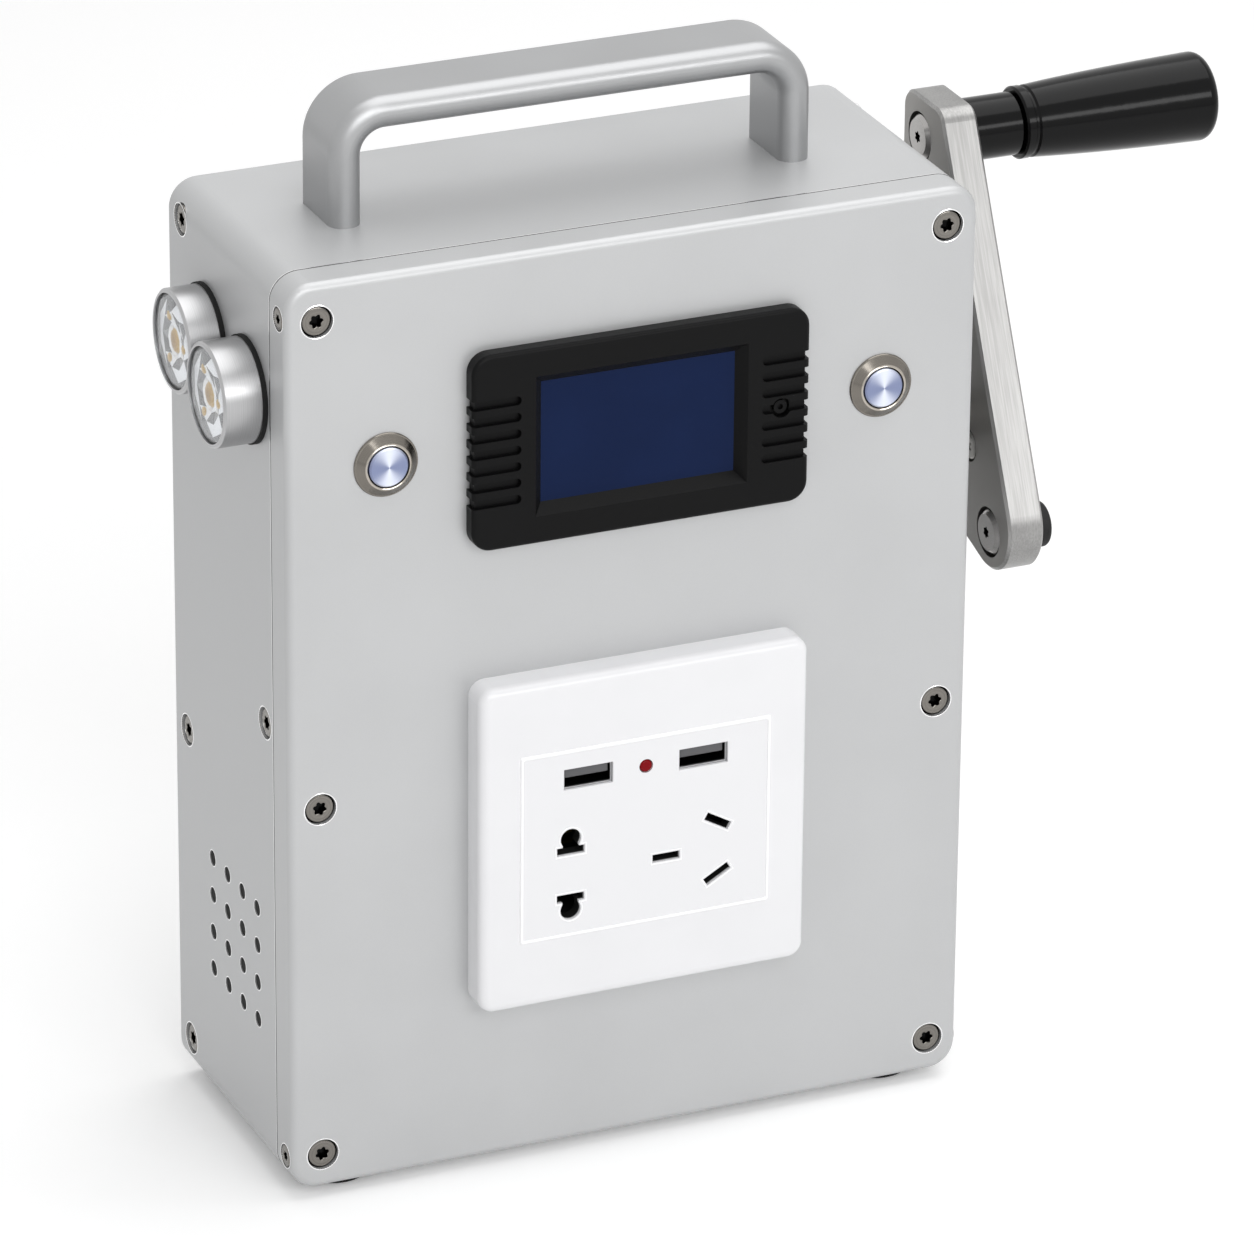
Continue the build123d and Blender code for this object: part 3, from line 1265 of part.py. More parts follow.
with BuildPart() as drive_gear:
    add(gear(DRIVE_X, HUB_YZ, DRIVE_TEETH, drive_phase, GEAR_W))
    with BuildSketch(at_x(DRIVE_X - 2.0)):
        with Locations(HUB_YZ):
            Circle(9.0)
    extrude(amount=OUTER_PLATE_X - GAP - DRIVE_X + 2.0)
    with BuildSketch(at_x(DRIVE_X)):
        with Locations(HUB_YZ):
            with PolarLocations(15.6, 6):
                Circle(4.2)
    extrude(amount=GEAR_W, mode=Mode.SUBTRACT)
    with BuildSketch(at_x(DRIVE_X - 2.0)):
        with Locations(HUB_YZ):
            Circle(SHAFT_R)
    extrude(amount=GEAR_W + 6.0, mode=Mode.SUBTRACT)
finish(drive_gear, "drive_gear")

with BuildPart() as idler_axle:
    with BuildSketch(at_x(INNER_PLATE_X)):
        with Locations(IDLER_YZ):
            Circle(AXLE_R)
    extrude(amount=OUTER_PLATE_X + PLATE_T - INNER_PLATE_X)
finish(idler_axle, "idler_axle")

with BuildPart() as idler_gear:
    add(gear(IDLER_LARGE_X, IDLER_YZ, IDLER_LARGE_TEETH, idler_large_phase, GEAR_W))
    add(gear(IDLER_SMALL_X, IDLER_YZ, IDLER_SMALL_TEETH, idler_small_phase, IDLER_SMALL_W))
    with BuildSketch(at_x(INNER_PLATE_X + PLATE_T + GAP)):
        with Locations(IDLER_YZ):
            Circle(4.8)
    extrude(amount=OUTER_PLATE_X - INNER_PLATE_X - PLATE_T - 2 * GAP)
    with BuildSketch(at_x(INNER_PLATE_X)):
        with Locations(IDLER_YZ):
            Circle(AXLE_R + RUNNING)
    extrude(amount=OUTER_PLATE_X - INNER_PLATE_X, mode=Mode.SUBTRACT)
    with BuildSketch(at_x(IDLER_LARGE_X)):
        with Locations(IDLER_YZ):
            with PolarLocations(12.5, 6):
                Circle(3.6)
    extrude(amount=GEAR_W, mode=Mode.SUBTRACT)
finish(idler_gear, "idler_gear")

# ---- Generator ----------------------------------------------------------------------------------

CAN_R = 20.0
CAN_WALL = 4.0
CAN_X = 8.0
DRUM_R = 14.0
DRUM_GAP = 2.0

with BuildPart() as generator_body:
    with BuildSketch(at_x(CAN_X)):
        with Locations(ROTOR_YZ):
            Circle(CAN_R)
    extrude(amount=INNER_PLATE_X - CAN_X)
    fillet(generator_body.faces().sort_by(Axis.X)[0].edges(), 2.0)
    with BuildSketch(at_x(CAN_X + CAN_WALL)):
        with Locations(ROTOR_YZ):
            Circle(CAN_R - CAN_WALL)
    extrude(amount=INNER_PLATE_X - CAN_X - 2 * CAN_WALL, mode=Mode.SUBTRACT)
    with BuildSketch(at_x(CAN_X)):
        with Locations(ROTOR_YZ):
            Circle(ROTOR_SHAFT_R + RUNNING)
    extrude(amount=INNER_PLATE_X - CAN_X, mode=Mode.SUBTRACT)
    with BuildSketch(at_x(CAN_X)):
        with Locations(ROTOR_YZ):
            with PolarLocations(10.5, 4, start_angle=45):
                Circle(3.0)
    extrude(amount=CAN_WALL, mode=Mode.SUBTRACT)
finish(generator_body, "generator_body")

with BuildPart() as generator_rotor:
    add(gear(ROTOR_GEAR_X, ROTOR_YZ, ROTOR_TEETH, rotor_phase, ROTOR_GEAR_W))
    with BuildSketch(at_x(CAN_X - 2.0)):
        with Locations(ROTOR_YZ):
            Circle(ROTOR_SHAFT_R)
    extrude(amount=ROTOR_GEAR_X + ROTOR_GEAR_W + 1.0 - CAN_X + 2.0)
    with BuildSketch(at_x(CAN_X + CAN_WALL + DRUM_GAP)):
        with Locations(ROTOR_YZ):
            Circle(DRUM_R)
    extrude(amount=INNER_PLATE_X - CAN_X - 2 * CAN_WALL - 2 * DRUM_GAP)
finish(generator_rotor, "generator_rotor")

# ---- Battery and electronics --------------------------------------------------------------------

BATTERY = (116.0, 52.0, 34.0)
BATTERY_Y = 2.0
EAR_W = 9.0

with BuildPart() as battery_pack:
    with BuildSketch(at_z(BOTTOM + WALL)):
        with Locations((0, BATTERY_Y)):
            RectangleRounded(BATTERY[0], BATTERY[1], 4.0)
    extrude(amount=BATTERY[2])
    fillet(battery_pack.faces().sort_by(Axis.Z)[-1].edges(), 2.0)
    with BuildSketch(at_z(BOTTOM + WALL)):
        with Locations((0, BATTERY_Y)):
            RectangleRounded(BATTERY[0] + 2 * EAR_W, 16.0, 3.0)
            with GridLocations(BATTERY[0] + EAR_W, 0, 2, 1):
                Circle(2.0, mode=Mode.SUBTRACT)
    extrude(amount=2.0)
finish(battery_pack, "battery_pack")

BOARD_BACK = BACK - WALL - STANDOFF_H

with BuildPart() as control_board:
    with BuildSketch(at_y(BOARD_BACK)):
        with Locations((BOARD_X, BOARD_Z)):
            Rectangle(BOARD_W, BOARD_H)
            with GridLocations(*BOARD_HOLE_PITCH, 2, 2):
                Circle(1.6, mode=Mode.SUBTRACT)
    extrude(amount=BOARD_T)
    # Transformer, heat sink and a row of capacitors
    with BuildSketch(at_y(BOARD_BACK - BOARD_T)):
        with Locations((BOARD_X - 12.0, BOARD_Z + 30.0)):
            Rectangle(26.0, 22.0)
    extrude(amount=16.0)
    with BuildSketch(at_y(BOARD_BACK - BOARD_T)):
        with Locations((BOARD_X + 20.0, BOARD_Z + 24.0)):
            with GridLocations(5.0, 0, 4, 1):
                Rectangle(2.0, 40.0)
    extrude(amount=14.0)
    with BuildSketch(at_y(BOARD_BACK - BOARD_T)):
        with Locations((BOARD_X, BOARD_Z - 24.0)):
            with GridLocations(14.0, 16.0, 4, 2):
                Circle(5.0)
    extrude(amount=12.0)
finish(control_board, "control_board")

# ---- Fan behind the vent ------------------------------------------------------------------------

FAN_SIZE = 40.0
FAN_T = 10.0
FAN_BORE_R = 18.5
FAN_X = LEFT + WALL
FAN_HUB_R = 10.0
FAN_PIN_R = 2.0
SPIDER_T = 1.6
BLADES = 7
BLADE_START = 9.0
BLADE_L = 8.5
ROTOR_T = 6.0
FAN_ROTOR_X = FAN_X + 1.6

with BuildPart() as fan_frame:
    with BuildSketch(at_x(FAN_X)):
        with Locations(FAN_YZ):
            RectangleRounded(FAN_SIZE, FAN_SIZE, 3.0)
            Circle(FAN_BORE_R, mode=Mode.SUBTRACT)
            with GridLocations(32.0, 32.0, 2, 2):
                Circle(1.6, mode=Mode.SUBTRACT)
    extrude(amount=FAN_T)
    with BuildSketch(at_x(FAN_X + FAN_T - SPIDER_T)):
        with Locations(FAN_YZ):
            Circle(FAN_HUB_R)
            with PolarLocations(14.0, 4, start_angle=45):
                Rectangle(11.0, 2.0)
    extrude(amount=SPIDER_T)
    with BuildSketch(at_x(FAN_X + FAN_T - SPIDER_T)):
        with Locations(FAN_YZ):
            Circle(FAN_PIN_R)
    extrude(amount=-(ROTOR_T - 1.0))
finish(fan_frame, "fan_frame")

with BuildPart() as fan_rotor:
    with BuildSketch(at_x(FAN_ROTOR_X)):
        with Locations(FAN_YZ):
            Circle(FAN_HUB_R)
    extrude(amount=ROTOR_T)
    for blade in range(BLADES):
        angle = 2 * math.pi * blade / BLADES
        out = (math.cos(angle), math.sin(angle))
        root = (
            FAN_ROTOR_X + ROTOR_T / 2,
            FAN_YZ[0] + BLADE_START * out[0],
            FAN_YZ[1] + BLADE_START * out[1],
        )
        with BuildSketch(Plane(origin=root, x_dir=(1, 0, 0), z_dir=(0, *out))):
            with Locations(Location((0, 0, 0), (0, 0, 38))):
                Rectangle(6.6, 1.2)
        extrude(amount=BLADE_L)
    with BuildSketch(at_x(FAN_ROTOR_X + ROTOR_T)):
        with Locations(FAN_YZ):
            Circle(FAN_PIN_R + RUNNING)
    extrude(amount=-(ROTOR_T - 1.0), mode=Mode.SUBTRACT)
finish(fan_rotor, "fan_rotor")
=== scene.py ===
"""Looks of a hand crank generator: finishes for its CAD pieces, and detailed pieces around them."""

from __future__ import annotations

import logging
import math
from collections.abc import Iterable, Sequence
from dataclasses import dataclass
from enum import Enum

import bmesh
import bpy
from mathutils import Matrix, Vector


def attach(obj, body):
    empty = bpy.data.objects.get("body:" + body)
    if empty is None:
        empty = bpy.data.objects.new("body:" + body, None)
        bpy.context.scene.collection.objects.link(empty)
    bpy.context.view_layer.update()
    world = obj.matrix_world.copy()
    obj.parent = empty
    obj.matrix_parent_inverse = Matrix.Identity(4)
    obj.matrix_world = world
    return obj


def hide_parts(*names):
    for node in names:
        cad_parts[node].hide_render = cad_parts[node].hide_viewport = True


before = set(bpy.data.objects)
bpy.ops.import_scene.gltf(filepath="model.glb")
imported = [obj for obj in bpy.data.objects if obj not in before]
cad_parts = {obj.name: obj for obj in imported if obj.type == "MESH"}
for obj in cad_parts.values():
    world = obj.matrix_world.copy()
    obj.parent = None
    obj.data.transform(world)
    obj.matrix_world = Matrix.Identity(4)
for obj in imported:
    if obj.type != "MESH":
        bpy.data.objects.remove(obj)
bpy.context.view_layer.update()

MM = 0.001
Colour = tuple[float, float, float]
Point = tuple[float, float, float]
log = logging.getLogger("generator")

# The part of a noise pattern's range that its values fill, and the whole range of a factor
NOISE_MIDDLE = (0.3, 0.7)
WHOLE = (0.0, 1.0)
# Depths of a finish's relief
GRAIN_RELIEF = 0.02 * MM
MARK_RELIEF = 0.03 * MM
# Attributes that hold a screw point's place on its own screw, and a lamp facet's painted reflection tone
OWN_PLACE = "own_place"
FACET_PAINTED_REFLECTION = "facet_painted_reflection"


# ---- Node trees ---------------------------------------------------------------------------------


def arithmetic(
    tree: bpy.types.NodeTree, operation: str, *terms: bpy.types.NodeSocket | float
) -> bpy.types.NodeSocket:
    """Add one step of arithmetic to a node tree.

    Args:
        tree: The tree to add to.
        operation: The step's kind.
        terms: Sockets or plain numbers.

    Returns:
        The result's socket.
    """
    node = tree.nodes.new("ShaderNodeMath")
    node.operation = operation
    for slot, term in enumerate(terms):
        if isinstance(term, (int, float)):
            node.inputs[slot].default_value = term
        else:
            tree.links.new(term, node.inputs[slot])
    return node.outputs[0]


class Shader:
    """A material's node tree while it is being put together."""

    def __init__(self, name: str) -> None:
        """Start a material with a Principled surface that reads Object coordinates.

        Args:
            name: The material's name.
        """
        self.material = bpy.data.materials.new(name)
        self.material.use_nodes = True
        self.tree = self.material.node_tree
        self.tree.nodes.clear()
        self.surface = self.tree.nodes.new("ShaderNodeBsdfPrincipled")
        self.output = self.tree.nodes.new("ShaderNodeOutputMaterial")
        self.join(self.surface.outputs["BSDF"], self.output.inputs["Surface"])
        self.place = self.tree.nodes.new("ShaderNodeTexCoord").outputs["Object"]

    def join(self, source: bpy.types.NodeSocket, target: bpy.types.NodeSocket) -> None:
        """Link one socket to another."""
        self.tree.links.new(source, target)

    def add(self, kind: str, **settings: object) -> bpy.types.Node:
        """Add a node and set its own properties.

        Args:
            kind: The node type's name.
            settings: Property names and values.

        Returns:
            The new node.
        """
        node = self.tree.nodes.new(kind)
        for key, value in settings.items():
            setattr(node, key, value)
        return node

    def base(self, colour: Colour, metallic: float, roughness: float) -> None:
        """Set the surface's plain values.

        Args:
            colour: Linear base colour.
            metallic: How metallic it is.
            roughness: How rough it is.
        """
        self.surface.inputs["Base Color"].default_value = (*colour, 1.0)
        self.surface.inputs["Metallic"].default_value = metallic
        self.surface.inputs["Roughness"].default_value = roughness

    def coated(self, weight: float) -> None:
        """Lay a thin glossy skin over the surface."""
        self.surface.inputs["Coat Weight"].default_value = weight
        self.surface.inputs["Coat Roughness"].default_value = 0.08

    def stretched(
        self, scale: Point, turn: Point = (0, 0, 0), start: Point = (0, 0, 0)
    ) -> bpy.types.NodeSocket:
        """Object coordinates moved, turned and stretched.

        Args:
            scale: Scale on each axis, after the turn.
            turn: Euler angles in degrees.
            start: The point that becomes the pattern's centre.

        Returns:
            The socket that holds the new coordinates.
        """
        mapping = self.add("ShaderNodeMapping", vector_type="POINT")
        self.join(self.vectors("SUBTRACT", self.place, start), mapping.inputs["Vector"])
        mapping.inputs["Rotation"].default_value = [math.radians(a) for a in turn]
        return self.vectors("MULTIPLY", mapping.outputs["Vector"], scale)

    def from_centre(self, centre: Point) -> bpy.types.NodeSocket:
        """Object coordinates counted from a point."""
        return self.stretched((1, 1, 1), start=centre)

    def vectors(
        self, operation: str, first: bpy.types.NodeSocket, second: Point = (0, 0, 0)
    ) -> bpy.types.NodeSocket:
        """One step of vector arithmetic.

        Args:
            operation: The step's kind.
            first: The socket it starts from.
            second: The plain vector that it is worked with.

        Returns:
            The result: a number for a length or a dot product, and a vector otherwise.
        """
        node = self.add("ShaderNodeVectorMath", operation=operation)
        self.join(first, node.inputs[0])
        node.inputs[1].default_value = second
        return node.outputs["Value" if operation in ("LENGTH", "DOT_PRODUCT") else "Vector"]

    def parts(self, vector: bpy.types.NodeSocket) -> bpy.types.bpy_prop_collection:
        """The X, Y and Z of a vector, by name.

        Args:
            vector: The socket to take apart.

        Returns:
            The three sockets.
        """
        split = self.add("ShaderNodeSeparateXYZ")
        self.join(vector, split.inputs[0])
        return split.outputs

    def noise(
        self, scale: float, detail: float = 2.0, vector: bpy.types.NodeSocket | None = None
    ) -> bpy.types.NodeSocket:
        """A noise pattern's value.

        Args:
            scale: Cells per metre, or per unit of the given coordinates.
            detail: Octaves.
            vector: Coordinates, or Object coordinates if left out.

        Returns:
            The socket that holds the noise, from 0 to 1.
        """
        node = self.add("ShaderNodeTexNoise")
        node.inputs["Scale"].default_value = scale
        node.inputs["Detail"].default_value = detail
        self.join(vector or self.place, node.inputs["Vector"])
        return node.outputs["Fac"]

    def turning_marks(self, scale: float, distance: bpy.types.NodeSocket) -> bpy.types.NodeSocket:
        """Noise that changes only with a distance, as the rings left by a lathe do.

        Args:
            scale: Rings per metre.
            distance: The socket that the rings follow.

        Returns:
            The socket that holds the noise, from 0 to 1.
        """
        place = self.add("ShaderNodeCombineXYZ")
        self.join(distance, place.inputs[0])
        return self.noise(scale, 2.0, place.outputs[0])

    def span(
        self, value: bpy.types.NodeSocket, given: tuple[float, float], wanted: tuple[float, float] = WHOLE
    ) -> bpy.types.NodeSocket:
        """Map a value from one range to another, held at both ends.

        Args:
            value: The socket to map.
            given: The range that it comes in.
            wanted: The range that it goes out in.

        Returns:
            The mapped value's socket.
        """
        node = self.add("ShaderNodeMapRange", interpolation_type="SMOOTHSTEP")
        self.join(value, node.inputs["Value"])
        node.inputs["From Min"].default_value, node.inputs["From Max"].default_value = given
        node.inputs["To Min"].default_value, node.inputs["To Max"].default_value = wanted
        return node.outputs["Result"]

    def maths(
        self, operation: str, first: bpy.types.NodeSocket | float, second: bpy.types.NodeSocket | float = 0.0
    ) -> bpy.types.NodeSocket:
        """One step of arithmetic on sockets or numbers."""
        return arithmetic(self.tree, operation, first, second)

    def weighed(
        self, first: bpy.types.NodeSocket, share: float, second: bpy.types.NodeSocket, rest: float
    ) -> bpy.types.NodeSocket:
        """The sum of two patterns, each times its own share."""
        return self.maths("ADD", self.maths("MULTIPLY", first, share), self.maths("MULTIPLY", second, rest))

    def mixed(self, factor: bpy.types.NodeSocket, low: Colour, high: Colour) -> bpy.types.NodeSocket:
        """Blend two colours by a factor.

        Args:
            factor: 0 for the low colour, 1 for the high one.
            low: Colour at 0.
            high: Colour at 1.

        Returns:
            The blended colour's socket.
        """
        node = self.add("ShaderNodeMix", data_type="RGBA")
        self.join(factor, node.inputs["Factor"])
        node.inputs["A"].default_value = (*low, 1.0)
        node.inputs["B"].default_value = (*high, 1.0)
        return next(s for s in node.outputs if s.type == "RGBA")

    def blended(
        self, factor: bpy.types.NodeSocket, low: bpy.types.NodeSocket, high: Colour
    ) -> bpy.types.NodeSocket:
        """Blend from a colour socket at 0 to a plain colour at 1.

        Args:
            factor: Where the plain colour shows.
            low: The socket that shows at 0.
            high: The plain colour.

        Returns:
            The blended colour's socket.
        """
        node = self.add("ShaderNodeMix", data_type="RGBA")
        colours = [s for s in node.inputs if s.type == "RGBA"]
        self.join(factor, node.inputs["Factor"])
        self.join(low, colours[0])
        colours[1].default_value = (*high, 1.0)
        return next(s for s in node.outputs if s.type == "RGBA")

    def varied(
        self, factor: bpy.types.NodeSocket, colour: Colour, low: float, high: float
    ) -> bpy.types.NodeSocket:
        """A colour times a low number at factor 0 and a high one at factor 1."""
        return self.mixed(factor, lighter(colour, low), lighter(colour, high))

    def colour_from(self, socket: bpy.types.NodeSocket) -> None:
        """Take the surface's base colour from a socket."""
        self.join(socket, self.surface.inputs["Base Color"])

    def roughness_from(self, socket: bpy.types.NodeSocket) -> None:
        """Take the surface's roughness from a socket."""
        self.join(socket, self.surface.inputs["Roughness"])

    def bump(self, height: bpy.types.NodeSocket, strength: float, depth: float) -> None:
        """Raise the surface by a height pattern.

        Args:
            height: The pattern.
            strength: How much of it shows.
            depth: Height of a full step, in metres.
        """
        node = self.add("ShaderNodeBump")
        node.inputs["Strength"].default_value = strength
        node.inputs["Distance"].default_value = depth
        self.join(height, node.inputs["Height"])
        self.join(node.outputs["Normal"], self.surface.inputs["Normal"])

    def facing(self, axis: Point) -> bpy.types.NodeSocket:
        """How far the surface's own normal lies along an axis, from 0 to 1, either way.

        Args:
            axis: The axis, in Object coordinates.

        Returns:
            The socket that holds it.
        """
        normal = self.add("ShaderNodeNewGeometry").outputs["Normal"]
        turned = self.add(
            "ShaderNodeVectorTransform", vector_type="NORMAL", convert_from="WORLD", convert_to="OBJECT"
        )
        self.join(normal, turned.inputs[0])
        return self.maths("ABSOLUTE", self.vectors("DOT_PRODUCT", turned.outputs[0], axis))


def lighter(colour: Colour, factor: float) -> Colour:
    """A colour made lighter or darker by a factor."""
    return tuple(min(1.0, c * factor) for c in colour)


# ---- Finishes -----------------------------------------------------------------------------------


class Axis(Enum):
    """Directions that a brushed or turned finish runs along."""

    ALONG_X = (1, 0, 0)
    ALONG_Y = (0, 1, 0)
    ALONG_Z = (0, 0, 1)


@dataclass(frozen=True)
class SatinMetal:
    """Blasted and anodised metal: an even colour, soft gloss and a very fine grain."""

    name: str
    colour: Colour
    roughness: float = 0.42
    metallic: float = 0.7
    grain: float = 2600.0
    clouds: float = 26.0
    tone: float = 0.025
    gloss_change: float = 0.03

    def make(self) -> bpy.types.Material:
        """Build the material.

        Returns:
            The finished material.
        """
        shader = Shader(self.name)
        shader.base(self.colour, self.metallic, self.roughness)
        cloud = shader.noise(self.clouds, detail=3.0)
        fine = shader.noise(self.grain)
        factor = shader.span(shader.weighed(cloud, 0.75, fine, 0.25), NOISE_MIDDLE)
        shader.colour_from(shader.varied(factor, self.colour, 1 - self.tone, 1 + self.tone))
        dull, shiny = self.roughness + self.gloss_change, self.roughness - self.gloss_change
        shader.roughness_from(shader.span(cloud, NOISE_MIDDLE, (shiny, dull)))
        shader.bump(fine, strength=0.18, depth=GRAIN_RELIEF)
        return shader.material


@dataclass(frozen=True)
class BrushedMetal:
    """Metal with fine straight scratches along one direction, plainer on its broad faces."""

    name: str
    colour: Colour
    broad: Colour
    roughness: float = 0.3
    broad_roughness: float = 0.4
    turn: Point = (0, 0, 0)
    metallic: float = 0.9
    broad_axis: Axis = Axis.ALONG_X
    scratches: Point = (2600, 2600, 26)
    patches: Point = (160, 160, 14)
    broad_from: tuple[float, float] = (0.9, 0.98)

    def make(self) -> bpy.types.Material:
        """Build the material.

        Returns:
            The finished material.
        """
        shader = Shader(self.name)
        shader.base(self.colour, self.metallic, self.roughness)
        lines = shader.noise(1.0, 3.0, shader.stretched(self.scratches, self.turn))
        patches = shader.noise(1.0, 2.0, shader.stretched(self.patches, self.turn))
        streak = shader.span(shader.weighed(lines, 0.6, patches, 0.4), (0.35, 0.65))
        edge = shader.varied(streak, self.colour, 0.86, 1.1)
        flat = shader.span(shader.facing(self.broad_axis.value), self.broad_from)
        shader.colour_from(shader.blended(flat, edge, self.broad))
        shader.roughness_from(shader.span(flat, WHOLE, (self.roughness, self.broad_roughness)))
        shader.bump(lines, strength=0.25, depth=MARK_RELIEF)
        return shader.material


@dataclass(frozen=True)
class TurnedMetal:
    """Metal from a lathe, with faint rings about an axis through a point, and painted shade down its bore."""

    name: str
    colour: Colour
    centre: Point
    axis: Axis
    roughness: float = 0.22
    metallic: float = 1.0
    rings: float = 5200.0
    tone: float = 0.1
    painted_shade_bore: float = 0.0
    painted_shade_from: float = 0.0
    painted_shade_fade: float = 0.1 * MM
    dark: Colour = (0.008, 0.008, 0.008)

    def make(self) -> bpy.types.Material:
        """Build the material.

        Returns:
            The finished material.
        """
        shader = Shader(self.name)
        shader.base(self.colour, self.metallic, self.roughness)
        along = self.axis.value
        across = tuple(1 - a for a in along)
        radius = shader.vectors("LENGTH", shader.vectors("MULTIPLY", shader.from_centre(self.centre), across))
        depth = shader.vectors("DOT_PRODUCT", shader.place, along)
        rings = shader.turning_marks(self.rings, shader.maths("ADD", radius, depth))
        turned = shader.varied(shader.span(rings, NOISE_MIDDLE), self.colour, 1 - self.tone, 1 + self.tone)
        # Painted shade: near the axis and past a depth the colour turns dark, as if in the bore's shadow
        if self.painted_shade_bore:
            near = shader.span(radius, (self.painted_shade_bore, self.painted_shade_bore * 1.04), (1, 0))
            inside = shader.span(depth, (self.painted_shade_from, self.painted_shade_from + self.painted_shade_fade))
            turned = shader.blended(shader.maths("MULTIPLY", near, inside), turned, self.dark)
        shader.colour_from(turned)
        shader.bump(rings, strength=0.22, depth=MARK_RELIEF)
        return shader.material


@dataclass(frozen=True)
class SpunFace:
    """A disc brushed round its centre, with the shine of two opposite fans painted into its colour."""

    name: str
    dark: Colour
    bright: Colour
    centre: Point
    roughness: float = 0.3
    metallic: float = 0.55
    fan_sharpness: float = 3.2
    rings: float = 9000.0

    def make(self) -> bpy.types.Material:
        """Build the material.

        Returns:
            The finished material.
        """
        shader = Shader(self.name)
        shader.base(self.bright, self.metallic, self.roughness)
        from_centre = shader.from_centre(self.centre)
        part = shader.parts(from_centre)
        # Painted highlight: the colour turns bright in two fans above and below the centre, and dark at the
        # sides
        angle = shader.maths("ARCTAN2", part["Z"], part["X"])
        fan = shader.maths("ABSOLUTE", shader.maths("SINE", angle))
        sharp = shader.maths("POWER", fan, self.fan_sharpness)
        radius = shader.vectors("LENGTH", shader.vectors("MULTIPLY", from_centre, (1, 0, 1)))
        rings = shader.turning_marks(self.rings, radius)
        shader.colour_from(shader.mixed(shader.weighed(sharp, 0.85, rings, 0.15), self.dark, self.bright))
        shader.bump(rings, strength=0.2, depth=GRAIN_RELIEF)
        return shader.material


@dataclass(frozen=True)
class ScrewSteel:
    """Stainless screw heads, turned about each screw's own centre, with painted shade down in their drives
    and gaps.
    """

    name: str
    colour: Colour
    roughness: float = 0.24
    dark: Colour = (0.006, 0.006, 0.006)
    drive_reach: float = 2.0 * MM
    drive_depth: float = 0.08 * MM
    gap_depth: float = 0.48 * MM
    fade: float = 0.12 * MM
    rings: float = 3800.0

    def make(self) -> bpy.types.Material:
        """Build the material.

        Returns:
            The finished material.
        """
        shader = Shader(self.name)
        shader.base(self.colour, 1.0, self.roughness)
        own = shader.add("ShaderNodeAttribute", attribute_name=OWN_PLACE).outputs["Vector"]
        radius = shader.vectors("LENGTH", shader.vectors("MULTIPLY", own, (1, 1, 0)))
        rings = shader.turning_marks(self.rings, radius)
        turned = shader.varied(shader.span(rings, NOISE_MIDDLE), self.colour, 0.82, 1.12)
        # Painted shade: inside the drive and down the gap round the head the colour turns dark
        inside = shader.span(radius, (self.drive_reach, self.drive_reach * 1.02), (1, 0))
        extra = shader.maths("MULTIPLY", inside, self.gap_depth - self.drive_depth)
        level = shader.maths("SUBTRACT", extra, shader.parts(own)["Z"])
        painted_shade = shader.span(level, (self.gap_depth, self.gap_depth + self.fade))
        shader.colour_from(shader.blended(painted_shade, turned, self.dark))
        shader.bump(rings, strength=0.25, depth=MARK_RELIEF)
        return shader.material


@dataclass(frozen=True)
class Moulded:
    """Moulded plastic or rubber with a fine spark-eroded grain."""

    name: str
    colour: Colour
    roughness: float
    grain: float = 1800.0
    depth: float = 0.04 * MM
    strength: float = 0.3
    coat: float = 0.0
    specular: float = 0.5
    tone: float = 0.05
    clouds: float = 55.0

    def make(self) -> bpy.types.Material:
        """Build the material.

        Returns:
            The finished material.
        """
        shader = Shader(self.name)
        shader.base(self.colour, 0.0, self.roughness)
        shader.surface.inputs["Specular IOR Level"].default_value = self.specular
        shader.coated(self.coat)
        fine = shader.noise(self.grain, detail=3.0)
        cloud = shader.span(shader.noise(self.clouds), NOISE_MIDDLE)
        shader.colour_from(shader.varied(cloud, self.colour, 1 - self.tone, 1 + self.tone))
        shader.roughness_from(shader.span(fine, NOISE_MIDDLE, (self.roughness * 0.92, self.roughness * 1.08)))
        shader.bump(fine, strength=self.strength, depth=self.depth)
        return shader.material


@dataclass(frozen=True)
class ClearPlastic:
    """Clear cast lens plastic with a little haze."""

    name: str
    tint: Colour = (0.97, 0.98, 0.99)
    roughness: float = 0.01
    ior: float = 1.22
    haze: float = 420.0
    ripple: float = 120.0

    def make(self) -> bpy.types.Material:
        """Build the material.

        Returns:
            The finished material.
        """
        shader = Shader(self.name)
        shader.base(self.tint, 0.0, self.roughness)
        shader.surface.inputs["Transmission Weight"].default_value = 1.0
        shader.surface.inputs["IOR"].default_value = self.ior
        haze = shader.noise(self.haze)
        shader.roughness_from(shader.span(haze, (0.35, 0.7), (self.roughness, self.roughness * 2)))
        shader.bump(shader.noise(self.ripple, detail=1.0), strength=0.05, depth=MARK_RELIEF)
        return shader.material


@dataclass(frozen=True)
class FacetPaintedReflection:
    """Silvered facets whose tones are painted reflections: each facet's colour stands for the part of the
    room that it would mirror.
    """

    name: str = "lamp_facet_painted_reflection"
    dark: Colour = (0.004, 0.004, 0.005)
    bright: Colour = (0.97, 0.98, 1.0)
    roughness: float = 0.25
    metallic: float = 0.3
    clouds: float = 330.0

    def make(self) -> bpy.types.Material:
        """Build the material.

        Returns:
            The finished material.
        """
        shader = Shader(self.name)
        shader.base(self.bright, self.metallic, self.roughness)
        # Painted reflection: each facet's colour runs from dark to bright by its stored tone, in place of
        # what it would mirror
        tone = shader.add("ShaderNodeAttribute", attribute_name=FACET_PAINTED_REFLECTION).outputs["Fac"]
        cloud = shader.noise(self.clouds, detail=1.0)
        shader.colour_from(shader.mixed(shader.weighed(tone, 0.96, cloud, 0.06), self.dark, self.bright))
        shader.bump(cloud, strength=0.05, depth=MARK_RELIEF)
        return shader.material


